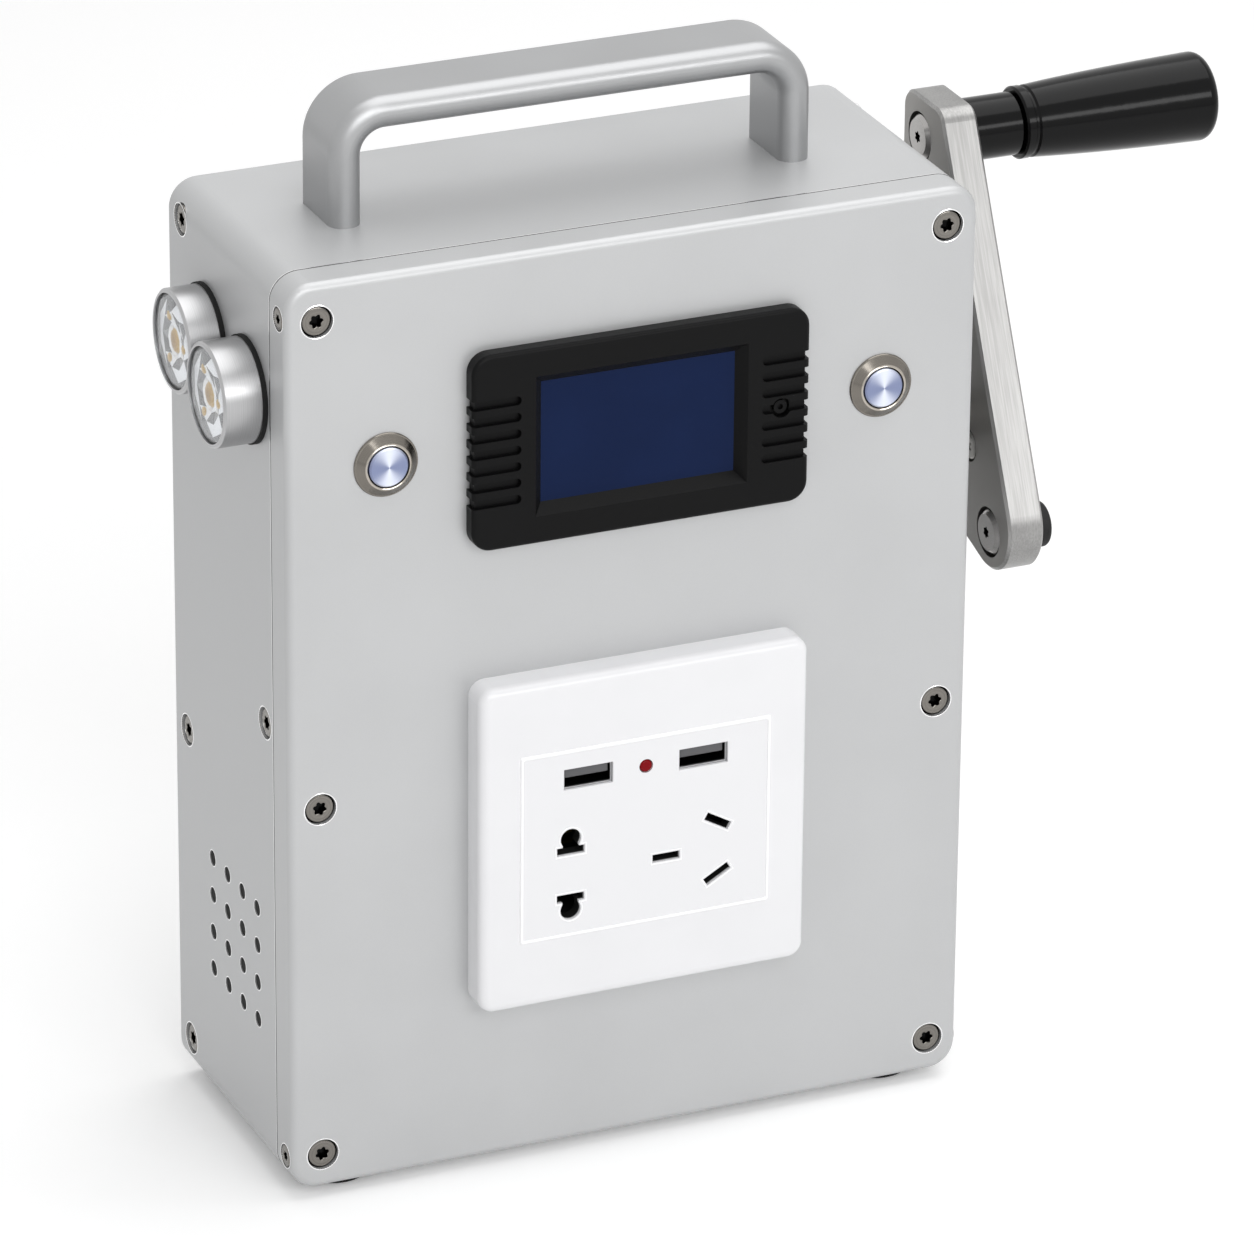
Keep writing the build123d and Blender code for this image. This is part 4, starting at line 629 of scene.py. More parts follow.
@dataclass(frozen=True)
class LedGlow:
    """A phosphor disc: amber in the middle, paler towards its edge."""

    name: str
    inner: Colour
    outer: Colour
    centre: Point
    radius: float
    grain: float = 900.0

    def make(self) -> bpy.types.Material:
        """Build the material.

        Returns:
            The finished material.
        """
        shader = Shader(self.name)
        shader.base(self.inner, 0.0, 0.35)
        distance = shader.vectors("LENGTH", shader.from_centre(self.centre))
        away = shader.span(distance, (0.2 * self.radius, self.radius))
        mottle = shader.noise(self.grain)
        shader.colour_from(shader.mixed(shader.weighed(away, 0.8, mottle, 0.2), self.inner, self.outer))
        shader.bump(mottle, strength=0.15, depth=MARK_RELIEF)
        return shader.material


# ---- Mesh tools ---------------------------------------------------------------------------------


def piece_from(
    name: str, mesh: bpy.types.Mesh, finish: bpy.types.Material, smooth_angle: float = 35.0
) -> bpy.types.Object:
    """Put a finished mesh in the scene as a piece at the origin.

    Args:
        name: The piece's name.
        mesh: Its mesh, already in place.
        finish: Its material.
        smooth_angle: Edges bent more than this many degrees stay sharp.

    Returns:
        The new object.
    """
    piece = bpy.data.objects.new(name, mesh)
    bpy.context.scene.collection.objects.link(piece)
    if not mesh.materials:
        mesh.materials.append(finish)
    soften(mesh, smooth_angle)
    return piece


def soften(mesh: bpy.types.Mesh, angle: float) -> None:
    """Shade a mesh smooth, except across edges bent more than an angle in degrees.

    Args:
        mesh: The mesh to shade.
        angle: The largest bend that stays smooth.
    """
    work = bmesh.new()
    work.from_mesh(mesh)
    limit = math.radians(angle)
    for face in work.faces:
        face.smooth = True
    for edge in work.edges:
        edge.smooth = not edge.is_manifold or edge.calc_face_angle(0.0) < limit
    work.to_mesh(mesh)
    work.free()


def turns(steps: int) -> list[float]:
    """Even angles once round, in radians."""
    return [2 * math.pi * k / steps for k in range(steps)]


def skin(work: bmesh.types.BMesh, rings: Sequence[Sequence[bmesh.types.BMVert]]) -> None:
    """Join each ring of points to the next; a ring of one point is a pole.

    Args:
        work: The mesh to add to.
        rings: Rings with the same number of points, poles apart, in order.
    """
    for first, second in zip(rings, rings[1:]):
        steps = max(len(first), len(second))
        for k in range(steps):
            following = (k + 1) % steps
            corners = (
                first[k % len(first)],
                first[following % len(first)],
                second[following % len(second)],
                second[k % len(second)],
            )
            unique = list(dict.fromkeys(corners))
            if len(unique) > 2:
                work.faces.new(unique)


def band(work: bmesh.types.BMesh, rings: Sequence[Sequence[bmesh.types.BMVert]]) -> None:
    """Join rings of points in order, and the last to the first, as a closed band."""
    skin(work, (*rings, rings[0]))


def stacked(work: bmesh.types.BMesh, layers: Sequence[Sequence[Vector]]) -> None:
    """Join layers of places into a skin with flat ends.

    Args:
        work: The mesh to add to.
        layers: Rings of places with the same number of points, in order.
    """
    rings = [[work.verts.new(place) for place in layer] for layer in layers]
    skin(work, rings)
    work.faces.new(list(reversed(rings[0])))
    work.faces.new(rings[-1])


def turned_shape(
    work: bmesh.types.BMesh,
    profile: Sequence[tuple[float, float]],
    centre: Point,
    axis: Vector,
    steps: int = 64,
) -> None:
    """Add a closed solid of revolution.

    Args:
        work: The mesh to add to.
        profile: (distance along the axis, radius) pairs in metres, from one pole to the other;
            a radius of zero makes a pole.
        centre: The point that distances are counted from.
        axis: The axis of the turn.
        steps: Segments round.
    """
    along = axis.normalized()
    side = along.orthogonal().normalized()
    other = along.cross(side)
    rings = []
    for distance, radius in profile:
        middle = Vector(centre) + along * distance
        reaches = [side * radius * math.cos(a) + other * radius * math.sin(a) for a in turns(steps)]
        rings.append([work.verts.new(middle + reach) for reach in (reaches if radius else reaches[:1])])
    skin(work, rings)


def mesh_from(work: bmesh.types.BMesh, name: str) -> bpy.types.Mesh:
    """Close off a bmesh as a mesh whose faces point outwards.

    Args:
        work: The bmesh, which is freed.
        name: The mesh's name.

    Returns:
        The new mesh.
    """
    bmesh.ops.remove_doubles(work, verts=work.verts, dist=1e-7)
    bmesh.ops.recalc_face_normals(work, faces=work.faces)
    mesh = bpy.data.meshes.new(name)
    work.to_mesh(mesh)
    work.free()
    return mesh


def dress(nodes: Iterable[str], finish: bpy.types.Material) -> None:
    """Give CAD nodes a finish through their objects' material slots.

    Args:
        nodes: The names of the nodes.
        finish: Their material.
    """
    for name in nodes:
        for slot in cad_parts[name].material_slots:
            slot.material = finish


def rounded_outline(width: float, height: float, radius: float, steps: int) -> list[tuple[float, float]]:
    """Points round a rectangle with rounded corners.

    Args:
        width: Full width.
        height: Full height.
        radius: Corner radius.
        steps: Segments at each corner.

    Returns:
        Counter-clockwise points, centred on the origin.
    """
    points = []
    for corner, (sx, sy) in enumerate(((1, 1), (-1, 1), (-1, -1), (1, -1))):
        cx, cy = sx * (width / 2 - radius), sy * (height / 2 - radius)
        for step in range(steps + 1):
            angle = math.pi / 2 * (corner + step / steps)
            points.append((cx + radius * math.cos(angle), cy + radius * math.sin(angle)))
    return points


# ---- Places on the case -------------------------------------------------------------------------


@dataclass(frozen=True)
class Lamp:
    """Where one lamp stands on the left wall."""

    side: str
    y: float
    z: float
    face: float


LAMP_PAIR = (Lamp("front", -0.0137, 0.2048, -0.09975), Lamp("rear", 0.0131, 0.2081, -0.09825))
FRONT_Y = -0.038
BACK_Y = 0.038
LEFT_X = -0.089
RIGHT_X = 0.089
TOP_Z = 0.239
BUTTON_X = 0.064
BUTTON_Z = 0.191
HUB_YZ = (0.002, 0.161)
GRIP_YZ = (0.020, 0.229)
NOSE_YZ = (-0.024, 0.1408)
ARM_IN_X = 0.101
# Directions out of the case
LEFTWARD = (-1.0, 0.0, 0.0)
RIGHTWARD = (1.0, 0.0, 0.0)
FORWARD = (0.0, -1.0, 0.0)
BACKWARD = (0.0, 1.0, 0.0)
Place = tuple[Point, Point]


# ---- Repeated pieces ----------------------------------------------------------------------------


class Spread:
    """A Geometry Nodes tree that sets one small shape down at many places."""

    def __init__(self, name: str) -> None:
        """Build the tree: named inputs, instances turned to face outwards, real mesh, one finish.

        Args:
            name: The tree's name.
        """
        self.tree = bpy.data.node_groups.new(name, "GeometryNodeTree")
        sockets = self.tree.interface
        for label, kind in (
            ("Places", "NodeSocketGeometry"),
            ("Shape", "NodeSocketObject"),
            ("Size", "NodeSocketFloat"),
            ("Turn Seed", "NodeSocketInt"),
            ("Finish", "NodeSocketMaterial"),
        ):
            sockets.new_socket(label, in_out="INPUT", socket_type=kind)
        sockets.new_socket("Pieces", in_out="OUTPUT", socket_type="NodeSocketGeometry")
        given = self.tree.nodes.new("NodeGroupInput")
        made = self.tree.nodes.new("NodeGroupOutput")
        shape = self.tree.nodes.new("GeometryNodeObjectInfo")
        outward = self.tree.nodes.new("GeometryNodeInputNamedAttribute")
        outward.data_type = "FLOAT_VECTOR"
        outward.inputs["Name"].default_value = "outward"
        face = self.tree.nodes.new("FunctionNodeAlignRotationToVector")
        face.axis = "Z"
        chance = self.tree.nodes.new("FunctionNodeRandomValue")
        chance.data_type = "FLOAT"
        turn = self.tree.nodes.new("FunctionNodeAxisAngleToRotation")
        turn.inputs["Axis"].default_value = (0, 0, 1)
        both = self.tree.nodes.new("FunctionNodeRotateRotation")
        both.rotation_space = "LOCAL"
        spread = self.tree.nodes.new("GeometryNodeInstanceOnPoints")
        real = self.tree.nodes.new("GeometryNodeRealizeInstances")
        finish = self.tree.nodes.new("GeometryNodeSetMaterial")
        ends = [s for s in chance.inputs if s.name in ("Min", "Max") and s.type == "VALUE"]
        ends[0].default_value, ends[1].default_value = 0.0, 2 * math.pi
        number = next(s for s in chance.outputs if s.type == "VALUE")
        for source, target in (
            (given.outputs["Shape"], shape.inputs["Object"]),
            (given.outputs["Turn Seed"], chance.inputs["Seed"]),
            (outward.outputs["Attribute"], face.inputs["Vector"]),
            (number, turn.inputs["Angle"]),
            (face.outputs["Rotation"], both.inputs["Rotation"]),
            (turn.outputs["Rotation"], both.inputs["Rotate By"]),
            (given.outputs["Places"], spread.inputs["Points"]),
            (shape.outputs["Geometry"], spread.inputs["Instance"]),
            (both.outputs["Rotation"], spread.inputs["Rotation"]),
            (given.outputs["Size"], spread.inputs["Scale"]),
            (spread.outputs["Instances"], real.inputs["Geometry"]),
            (real.outputs["Geometry"], finish.inputs["Geometry"]),
            (given.outputs["Finish"], finish.inputs["Material"]),
            (finish.outputs["Geometry"], made.inputs["Pieces"]),
        ):
            self.tree.links.new(source, target)

    def socket(self, label: str) -> str:
        """The identifier of a named input.

        Args:
            label: The input's name.

        Returns:
            Its identifier, by which a modifier is set.
        """
        return next(
            s.identifier
            for s in self.tree.interface.items_tree
            if s.item_type == "SOCKET" and s.in_out == "INPUT" and s.name == label
        )

    def lay(
        self,
        name: str,
        shape: bpy.types.Mesh,
        places: Sequence[Place],
        finish: bpy.types.Material,
        seed: int = 3,
        smooth_angle: float = 30.0,
    ) -> bpy.types.Object:
        """Set a shape down at each place, as one plain mesh.

        Args:
            name: The new piece's name.
            shape: The small mesh, with +Z outwards.
            places: Pairs of (point, outward direction).
            finish: The pieces' material.
            seed: Seed of their random turns.
            smooth_angle: Edges bent more than this many degrees stay sharp.

        Returns:
            The new piece, at the origin.
        """
        points = bpy.data.meshes.new(name + "_places")
        points.from_pydata([p for p, _ in places], [], [])
        outward = points.attributes.new("outward", "FLOAT_VECTOR", "POINT")
        outward.data.foreach_set("vector", [c for _, way in places for c in way])
        carrier = bpy.data.objects.new(name + "_carrier", points)
        pattern = bpy.data.objects.new(name + "_shape", shape)
        for item in (carrier, pattern):
            bpy.context.scene.collection.objects.link(item)
        modifier = carrier.modifiers.new("spread", "NODES")
        modifier.node_group = self.tree
        modifier[self.socket("Shape")] = pattern
        modifier[self.socket("Size")] = 1.0
        modifier[self.socket("Turn Seed")] = seed
        modifier[self.socket("Finish")] = finish
        bpy.context.view_layer.update()
        graph = bpy.context.evaluated_depsgraph_get()
        mesh = bpy.data.meshes.new_from_object(carrier.evaluated_get(graph), depsgraph=graph)
        mesh.name = name
        carrier.modifiers.clear()
        for item in (carrier, pattern):
            bpy.data.objects.remove(item)
        return piece_from(name, mesh, finish, smooth_angle)


@dataclass
class LobedHead:
    """A screw head with a six-lobed drive, its top at z = 0 and +Z outwards."""

    radius: float
    height: float
    drive: float
    depth: float
    bevel: float
    skirt: float
    shank: float
    length: float
    hole: float
    lobe: float = 0.14
    mouth_flare: float = 1.09
    edge_height: float = 0.12 * MM
    skirt_drop: float = 0.2 * MM
    around: int = 48

    def outline(self, radius: float, z: float) -> list[Vector]:
        """A plain circle of points."""
        return [Vector((radius * math.cos(a), radius * math.sin(a), z)) for a in turns(self.around)]

    def lobes(self, radius: float, z: float) -> list[Vector]:
        """A six-lobed ring of points.

        Args:
            radius: How far the lobes reach.
            z: Its height.

        Returns:
            The points, once round.
        """
        points = []
        for angle in turns(self.around):
            reach = radius * (1 - self.lobe + self.lobe * math.cos(6 * angle))
            points.append(Vector((reach * math.cos(angle), reach * math.sin(angle), z)))
        return points

    def mesh(self, name: str) -> bpy.types.Mesh:
        """Build the head, with each point's own place kept for the turned finish.

        Args:
            name: The mesh's name.

        Returns:
            The closed mesh.
        """
        work = bmesh.new()
        edge = self.radius - self.bevel
        mouth = self.drive * self.mouth_flare
        drive = [
            self.lobes(self.drive * 0.3, -self.depth),
            self.lobes(self.drive * 0.94, -self.depth),
            self.lobes(self.drive, -self.bevel * 0.16),
            self.lobes(mouth, 0.0),
        ]
        top = [
            self.outline((mouth + edge) / 2, 0.0),
            self.outline(edge, 0.0),
            self.outline(edge + self.bevel * 0.7, -self.bevel * 0.3),
            self.outline(self.radius, -self.bevel),
            self.outline(self.radius, -self.bevel - self.edge_height),
        ]
        body = [
            self.outline(self.skirt, -self.bevel - self.skirt_drop),
            self.outline(self.skirt, -self.height),
            self.outline(self.shank, -self.height),
            self.outline(self.shank, -self.length),
        ]
        stacked(work, drive + top + body)
        mesh = mesh_from(work, name)
        own = mesh.attributes.new(OWN_PLACE, "FLOAT_VECTOR", "POINT")
        own.data.foreach_set("vector", [c for v in mesh.vertices for c in v.co])
        return mesh


def lip_mesh(name: str, inner: float, width: float, proud: float, steps: int = 40) -> bpy.types.Mesh:
    """A thin bevelled ring that edges a hole, lying on z = 0.

    Args:
        name: The mesh's name.
        inner: Inner radius.
        width: How wide it is.
        proud: How far it stands up.
        steps: Segments round.

    Returns:
        The closed mesh.
    """
    work = bmesh.new()
    profile = ((inner, -proud * 4), (inner, proud * 0.2), (inner + width * 0.45, proud), (inner + width, 0.0))
    rings = [[(r * math.cos(a), r * math.sin(a), z) for a in turns(steps)] for r, z in profile]
    band(work, [[work.verts.new(place) for place in ring] for ring in rings])
    return mesh_from(work, name)


def disc_mesh(name: str, radius: float, top: float, base: float) -> bpy.types.Mesh:
    """A flat round plug between two depths below z = 0.

    Args:
        name: The mesh's name.
        radius: Its radius.
        top: Depth of its upper face.
        base: Depth of its lower face.

    Returns:
        The closed mesh.
    """
    work = bmesh.new()
    profile = [(-base, 0.0), (-base, radius), (-top, radius), (-top, 0.0)]
    turned_shape(work, profile, (0, 0, 0), Vector((0, 0, 1)), 24)
    return mesh_from(work, name)


# ---- Studio -------------------------------------------------------------------------------------


@dataclass
class SoftLamp:
    """One rectangular soft lamp of the studio."""

    name: str
    place: Point
    size: tuple[float, float]
    power: float
    aim: Point = (0.0, 0.0, 0.12)

    def hang(self) -> None:
        """Hang the lamp and turn it to what it lights."""
        data = bpy.data.lights.new(self.name, "AREA")
        data.shape = "RECTANGLE"
        data.size, data.size_y = self.size
        data.energy = self.power
        lamp = bpy.data.objects.new(self.name, data)
        bpy.context.scene.collection.objects.link(lamp)
        lamp.location = self.place
        lamp.rotation_euler = (Vector(self.aim) - Vector(self.place)).to_track_quat("-Z", "Y").to_euler()


@dataclass
class Studio:
    """Camera, floor, air and lamps."""

    camera_at: Point = (-0.73801, -1.71539, 0.95903)
    yaw: float = 23.697
    pitch: float = 24.127
    roll: float = 0.527
    focal: float = 240.31
    sensor: float = 36.0
    near: float = 0.05
    floor_size: float = 6.0
    floor_tone: float = 0.93
    floor_change: float = 0.005
    floor_lift: float = 0.16
    air_tone: float = 0.42
    lamps: tuple[SoftLamp, ...] = (
        SoftLamp("lamp_overhead", (0.35, 0.1, 1.7), (1.8, 1.6), 16.0),
        SoftLamp("lamp_key", (-0.3, -1.8, 1.35), (1.4, 1.2), 16.5),
        SoftLamp("lamp_front", (0.6, -1.6, 0.82), (0.8, 0.34), 4.4),
    )

    def camera(self) -> None:
        """Place the camera where the photograph was taken from."""
        yaw, pitch, roll = (math.radians(a) for a in (self.yaw, self.pitch, self.roll))
        level = Vector((math.sin(yaw), math.cos(yaw), 0))
        forward = level * math.cos(pitch) - Vector((0, 0, math.sin(pitch)))
        right = Vector((math.cos(yaw), -math.sin(yaw), 0))
        up = right.cross(forward)
        across = right * math.cos(roll) + up * math.sin(roll)
        upward = up * math.cos(roll) - right * math.sin(roll)
        data = bpy.data.cameras.new("camera")
        data.sensor_width = self.sensor
        data.lens = self.focal
        data.clip_start = self.near
        camera = bpy.data.objects.new("camera", data)
        bpy.context.scene.collection.objects.link(camera)
        turn = Matrix((across, upward, -forward)).transposed().to_4x4()
        camera.matrix_world = Matrix.Translation(self.camera_at) @ turn
        bpy.context.scene.camera = camera

    def floor(self) -> None:
        """Lay a plain pale floor that shows white away from the object's shadow."""
        work = bmesh.new()
        half = self.floor_size / 2
        corners = ((-half, -half, 0), (half, -half, 0), (half, half, 0), (-half, half, 0))
        work.faces.new([work.verts.new(corner) for corner in corners])
        mesh = bpy.data.meshes.new("studio_floor")
        work.to_mesh(mesh)
        work.free()
        floor = bpy.data.objects.new("studio_floor", mesh)
        bpy.context.scene.collection.objects.link(floor)
        shader = Shader("floor_paper")
        shader.base((self.floor_tone,) * 3, 0.0, 0.9)
        low, high = self.floor_tone - self.floor_change, self.floor_tone + self.floor_change
        shader.colour_from(shader.mixed(shader.noise(3.0, detail=1.0), (low,) * 3, (high,) * 3))
        shader.surface.inputs["Emission Color"].default_value = (1, 1, 1, 1)
        lift = shader.maths("MULTIPLY", self.seen_white(shader.tree), self.floor_lift)
        shader.join(lift, shader.surface.inputs["Emission Strength"])
        mesh.materials.append(shader.material)

    def seen_white(self, tree: bpy.types.NodeTree) -> bpy.types.NodeSocket:
        """Add nodes that tell how much of the white background a ray sees.

        Args:
            tree: The node tree to add to.

        Returns:
            A socket that is 1 for the camera, in metal and through glass, and 0 for light.
        """
        paths = tree.nodes.new("ShaderNodeLightPath").outputs
        seen = arithmetic(tree, "MAXIMUM", paths["Is Camera Ray"], paths["Is Glossy Ray"])
        return arithmetic(tree, "MAXIMUM", seen, paths["Is Transmission Ray"])

    def air(self) -> None:
        """Light evenly from all round, and show white to the camera, in metal and through glass."""
        world = bpy.data.worlds.new("studio_air")
        world.use_nodes = True
        tree = world.node_tree
        tree.nodes.clear()
        white = tree.nodes.new("ShaderNodeBackground")
        white.inputs["Color"].default_value = (1, 1, 1, 1)
        plain = tree.nodes.new("ShaderNodeBackground")
        plain.inputs["Color"].default_value = (self.air_tone,) * 3 + (1,)
        mix = tree.nodes.new("ShaderNodeMixShader")
        tree.links.new(self.seen_white(tree), mix.inputs["Fac"])
        tree.links.new(plain.outputs[0], mix.inputs[1])
        tree.links.new(white.outputs[0], mix.inputs[2])
        output = tree.nodes.new("ShaderNodeOutputWorld")
        tree.links.new(mix.outputs[0], output.inputs["Surface"])
        bpy.context.scene.world = world

    def build(self) -> None:
        """Put the whole studio in place."""
        self.camera()
        self.floor()
        self.air()
        for lamp in self.lamps:
            lamp.hang()
        bpy.context.scene.view_settings.view_transform = "Standard"


# ---- Sub-assemblies -----------------------------------------------------------------------------


class SubAssembly:
    """One sub-assembly: CAD nodes that it dresses, and detailed pieces that it adds."""

    def dress_nodes(self) -> None:
        """Give the sub-assembly's CAD nodes their finishes."""
        raise NotImplementedError

    def pieces(self) -> list[bpy.types.Object]:
        """The detailed pieces, none unless a sub-assembly has its own."""
        return []

    def add(
        self,
        name: str,
        mesh: bpy.types.Mesh,
        finish: bpy.types.Material,
        slot: str,
        smooth_angle: float = 35.0,
    ) -> bpy.types.Object:
        """Add a detailed piece that stays with the casing.

        Args:
            name: The piece's name.
            mesh: Its mesh, already in place.
            finish: Its material.
            slot: Not used.
            smooth_angle: Edges bent more than this many degrees stay sharp.

        Returns:
            The new piece.
        """
        return self.keep(piece_from(name, mesh, finish, smooth_angle), slot)

    def keep(self, piece: bpy.types.Object, slot: str) -> bpy.types.Object:
        """Let a piece ride on the casing.

        Args:
            piece: The piece.
            slot: Not used.

        Returns:
            The same piece.
        """
        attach(piece, "casing")
        return piece


# ---- The case -----------------------------------------------------------------------------------


@dataclass
class CasePanels(SubAssembly):
    """The case's panels, blocks, feet and vent, painted highlights on the edges of its drilled holes and
    sleeve, and painted shade behind its vent holes.
    """

    satin: SatinMetal = SatinMetal("case_satin", (0.51, 0.515, 0.52), 0.44, 0.40)
    inner: SatinMetal = SatinMetal("block_aluminium", (0.55, 0.55, 0.56), 0.4, 0.9)
    rubber: Moulded = Moulded("foot_rubber", (0.008, 0.008, 0.008), 0.75, specular=0.25)
    # A much lighter copy of the case aluminium: painted highlights on the vent holes' and the sleeve's edges
    lip: TurnedMetal = TurnedMetal("edge_painted_highlight_metal", (0.9, 0.9, 0.9), (0, -0.038, 0.12), Axis.ALONG_Y, 0.16)
    shadow: Moulded = Moulded("seam_shadow", (0.03, 0.03, 0.03), 0.7, specular=0.1)
    seam_y: float = -0.0280
    seam_width: float = 0.22 * MM
    seam_proud: float = 0.03 * MM
    edge_width: float = 0.25 * MM
    edge_proud: float = 0.04 * MM
    band_root: float = -0.3 * MM
    case_corner: float = 0.007
    case_foot: float = 0.003
    vent_middle: tuple[float, float] = (-0.001, 0.055)
    vent_pitch: float = 0.010
    vent_rows: int = 4
    vent_radius: float = 0.0020
    vent_lip: tuple[float, float] = (0.22 * MM, 0.05 * MM)
    # Dark discs behind the vent holes, as painted shade: their gap to the hole and their depths
    shade_disc_gap: float = 0.02 * MM
    shade_disc_depths: tuple[float, float] = (0.28 * MM, 1.2 * MM)

    def seam_band(self, name: str, near: float, far: float, proud: float) -> bpy.types.Mesh:
        """A thin band round the case, beside the joint of cover and sleeve.

        Args:
            name: The mesh's name.
            near: Its front edge's y.
            far: Its rear edge's y.
            proud: How far it stands off the case.

        Returns:
            The closed mesh.
        """
        work = bmesh.new()
        middle = (TOP_Z + self.case_foot) / 2
        rings = []
        for y, out in ((near, self.band_root), (near, proud), (far, proud), (far, self.band_root)):
            width, height = RIGHT_X - LEFT_X + 2 * out, TOP_Z - self.case_foot + 2 * out
            outline = rounded_outline(width, height, self.case_corner + out, 12)
            rings.append([work.verts.new((x, y, middle + z)) for x, z in outline])
        band(work, rings)
        return mesh_from(work, name)

    def dress_nodes(self) -> None:
        """Dress the panels, the corner blocks and the feet."""
        dress(("casing_sleeve", "front_cover", "rear_panel"), self.satin.make())
        dress(("front_blocks", "rear_blocks"), self.inner.make())
        dress(("rubber_feet",), self.rubber.make())

    def vent_holes(self) -> list[Place]:
        """Places of the vent's round holes.

        Returns:
            Each hole's middle and its way outwards.
        """
        across = [self.vent_pitch * (k - (self.vent_rows - 1) / 2) for k in range(self.vent_rows)]
        y, z = self.vent_middle
        return [((LEFT_X, y + dy, z + dz), LEFTWARD) for dy in across for dz in across]

    def pieces(self) -> list[bpy.types.Object]:
        """Mark the case's seam with a painted shadow band, give the vent holes and the sleeve painted
        highlight edges, and put painted shade discs behind the holes.

        Returns:
            The new pieces.
        """
        holes = self.vent_holes()
        edge_highlight = self.lip.make()
        lip = lip_mesh("vent_lip", self.vent_radius, *self.vent_lip)
        lips = Spread("vent_edges").lay("vent_hole_lips", lip, holes, edge_highlight)
        # Painted shade: dark rubber discs a little way down each vent hole
        screen = disc_mesh("vent_painted_shade_disc", self.vent_radius - self.shade_disc_gap, *self.shade_disc_depths)
        shade_discs = Spread("vent_painted_shade_discs").lay("vent_hole_screens", screen, holes, self.rubber.make())
        front, middle = self.seam_y - self.seam_width / 2, self.seam_y + self.seam_width / 2
        seam = self.seam_band("cover_seam", front, middle, self.seam_proud)
        # Painted highlight: a bright band along the sleeve's edge behind the seam
        edge = self.seam_band("sleeve_edge", middle, middle + self.edge_width, self.edge_proud)
        return [
            self.keep(lips, "case_aluminium"),
            self.keep(shade_discs, "black_plastic"),
            self.add("cover_seam", seam, self.shadow.make(), "black_plastic"),
            self.add("sleeve_edge", edge, edge_highlight, "case_aluminium"),
        ]


@dataclass
class CarryHandle(SubAssembly):
    """The bent bar across the top."""

    finish: SatinMetal = SatinMetal("handle_satin", (0.37, 0.373, 0.378), 0.4, 0.9, grain=2200.0)
    bolts: TurnedMetal = TurnedMetal(
        "handle_bolt_steel", (0.4, 0.39, 0.38), (-0.003, 0.002, 0.236), Axis.ALONG_Z
    )

    def dress_nodes(self) -> None:
        """Dress the bar and its bolts."""
        dress(("carry_handle",), self.finish.make())
        dress(("handle_bolts",), self.bolts.make())


# ---- Screws -------------------------------------------------------------------------------------


@dataclass
class ScrewGroup:
    """Screws of one kind: their head, their places and how far they are sunk in."""

    where: str
    node: str
    head: LobedHead
    places: list[Place]
    sink: float
    seed: int


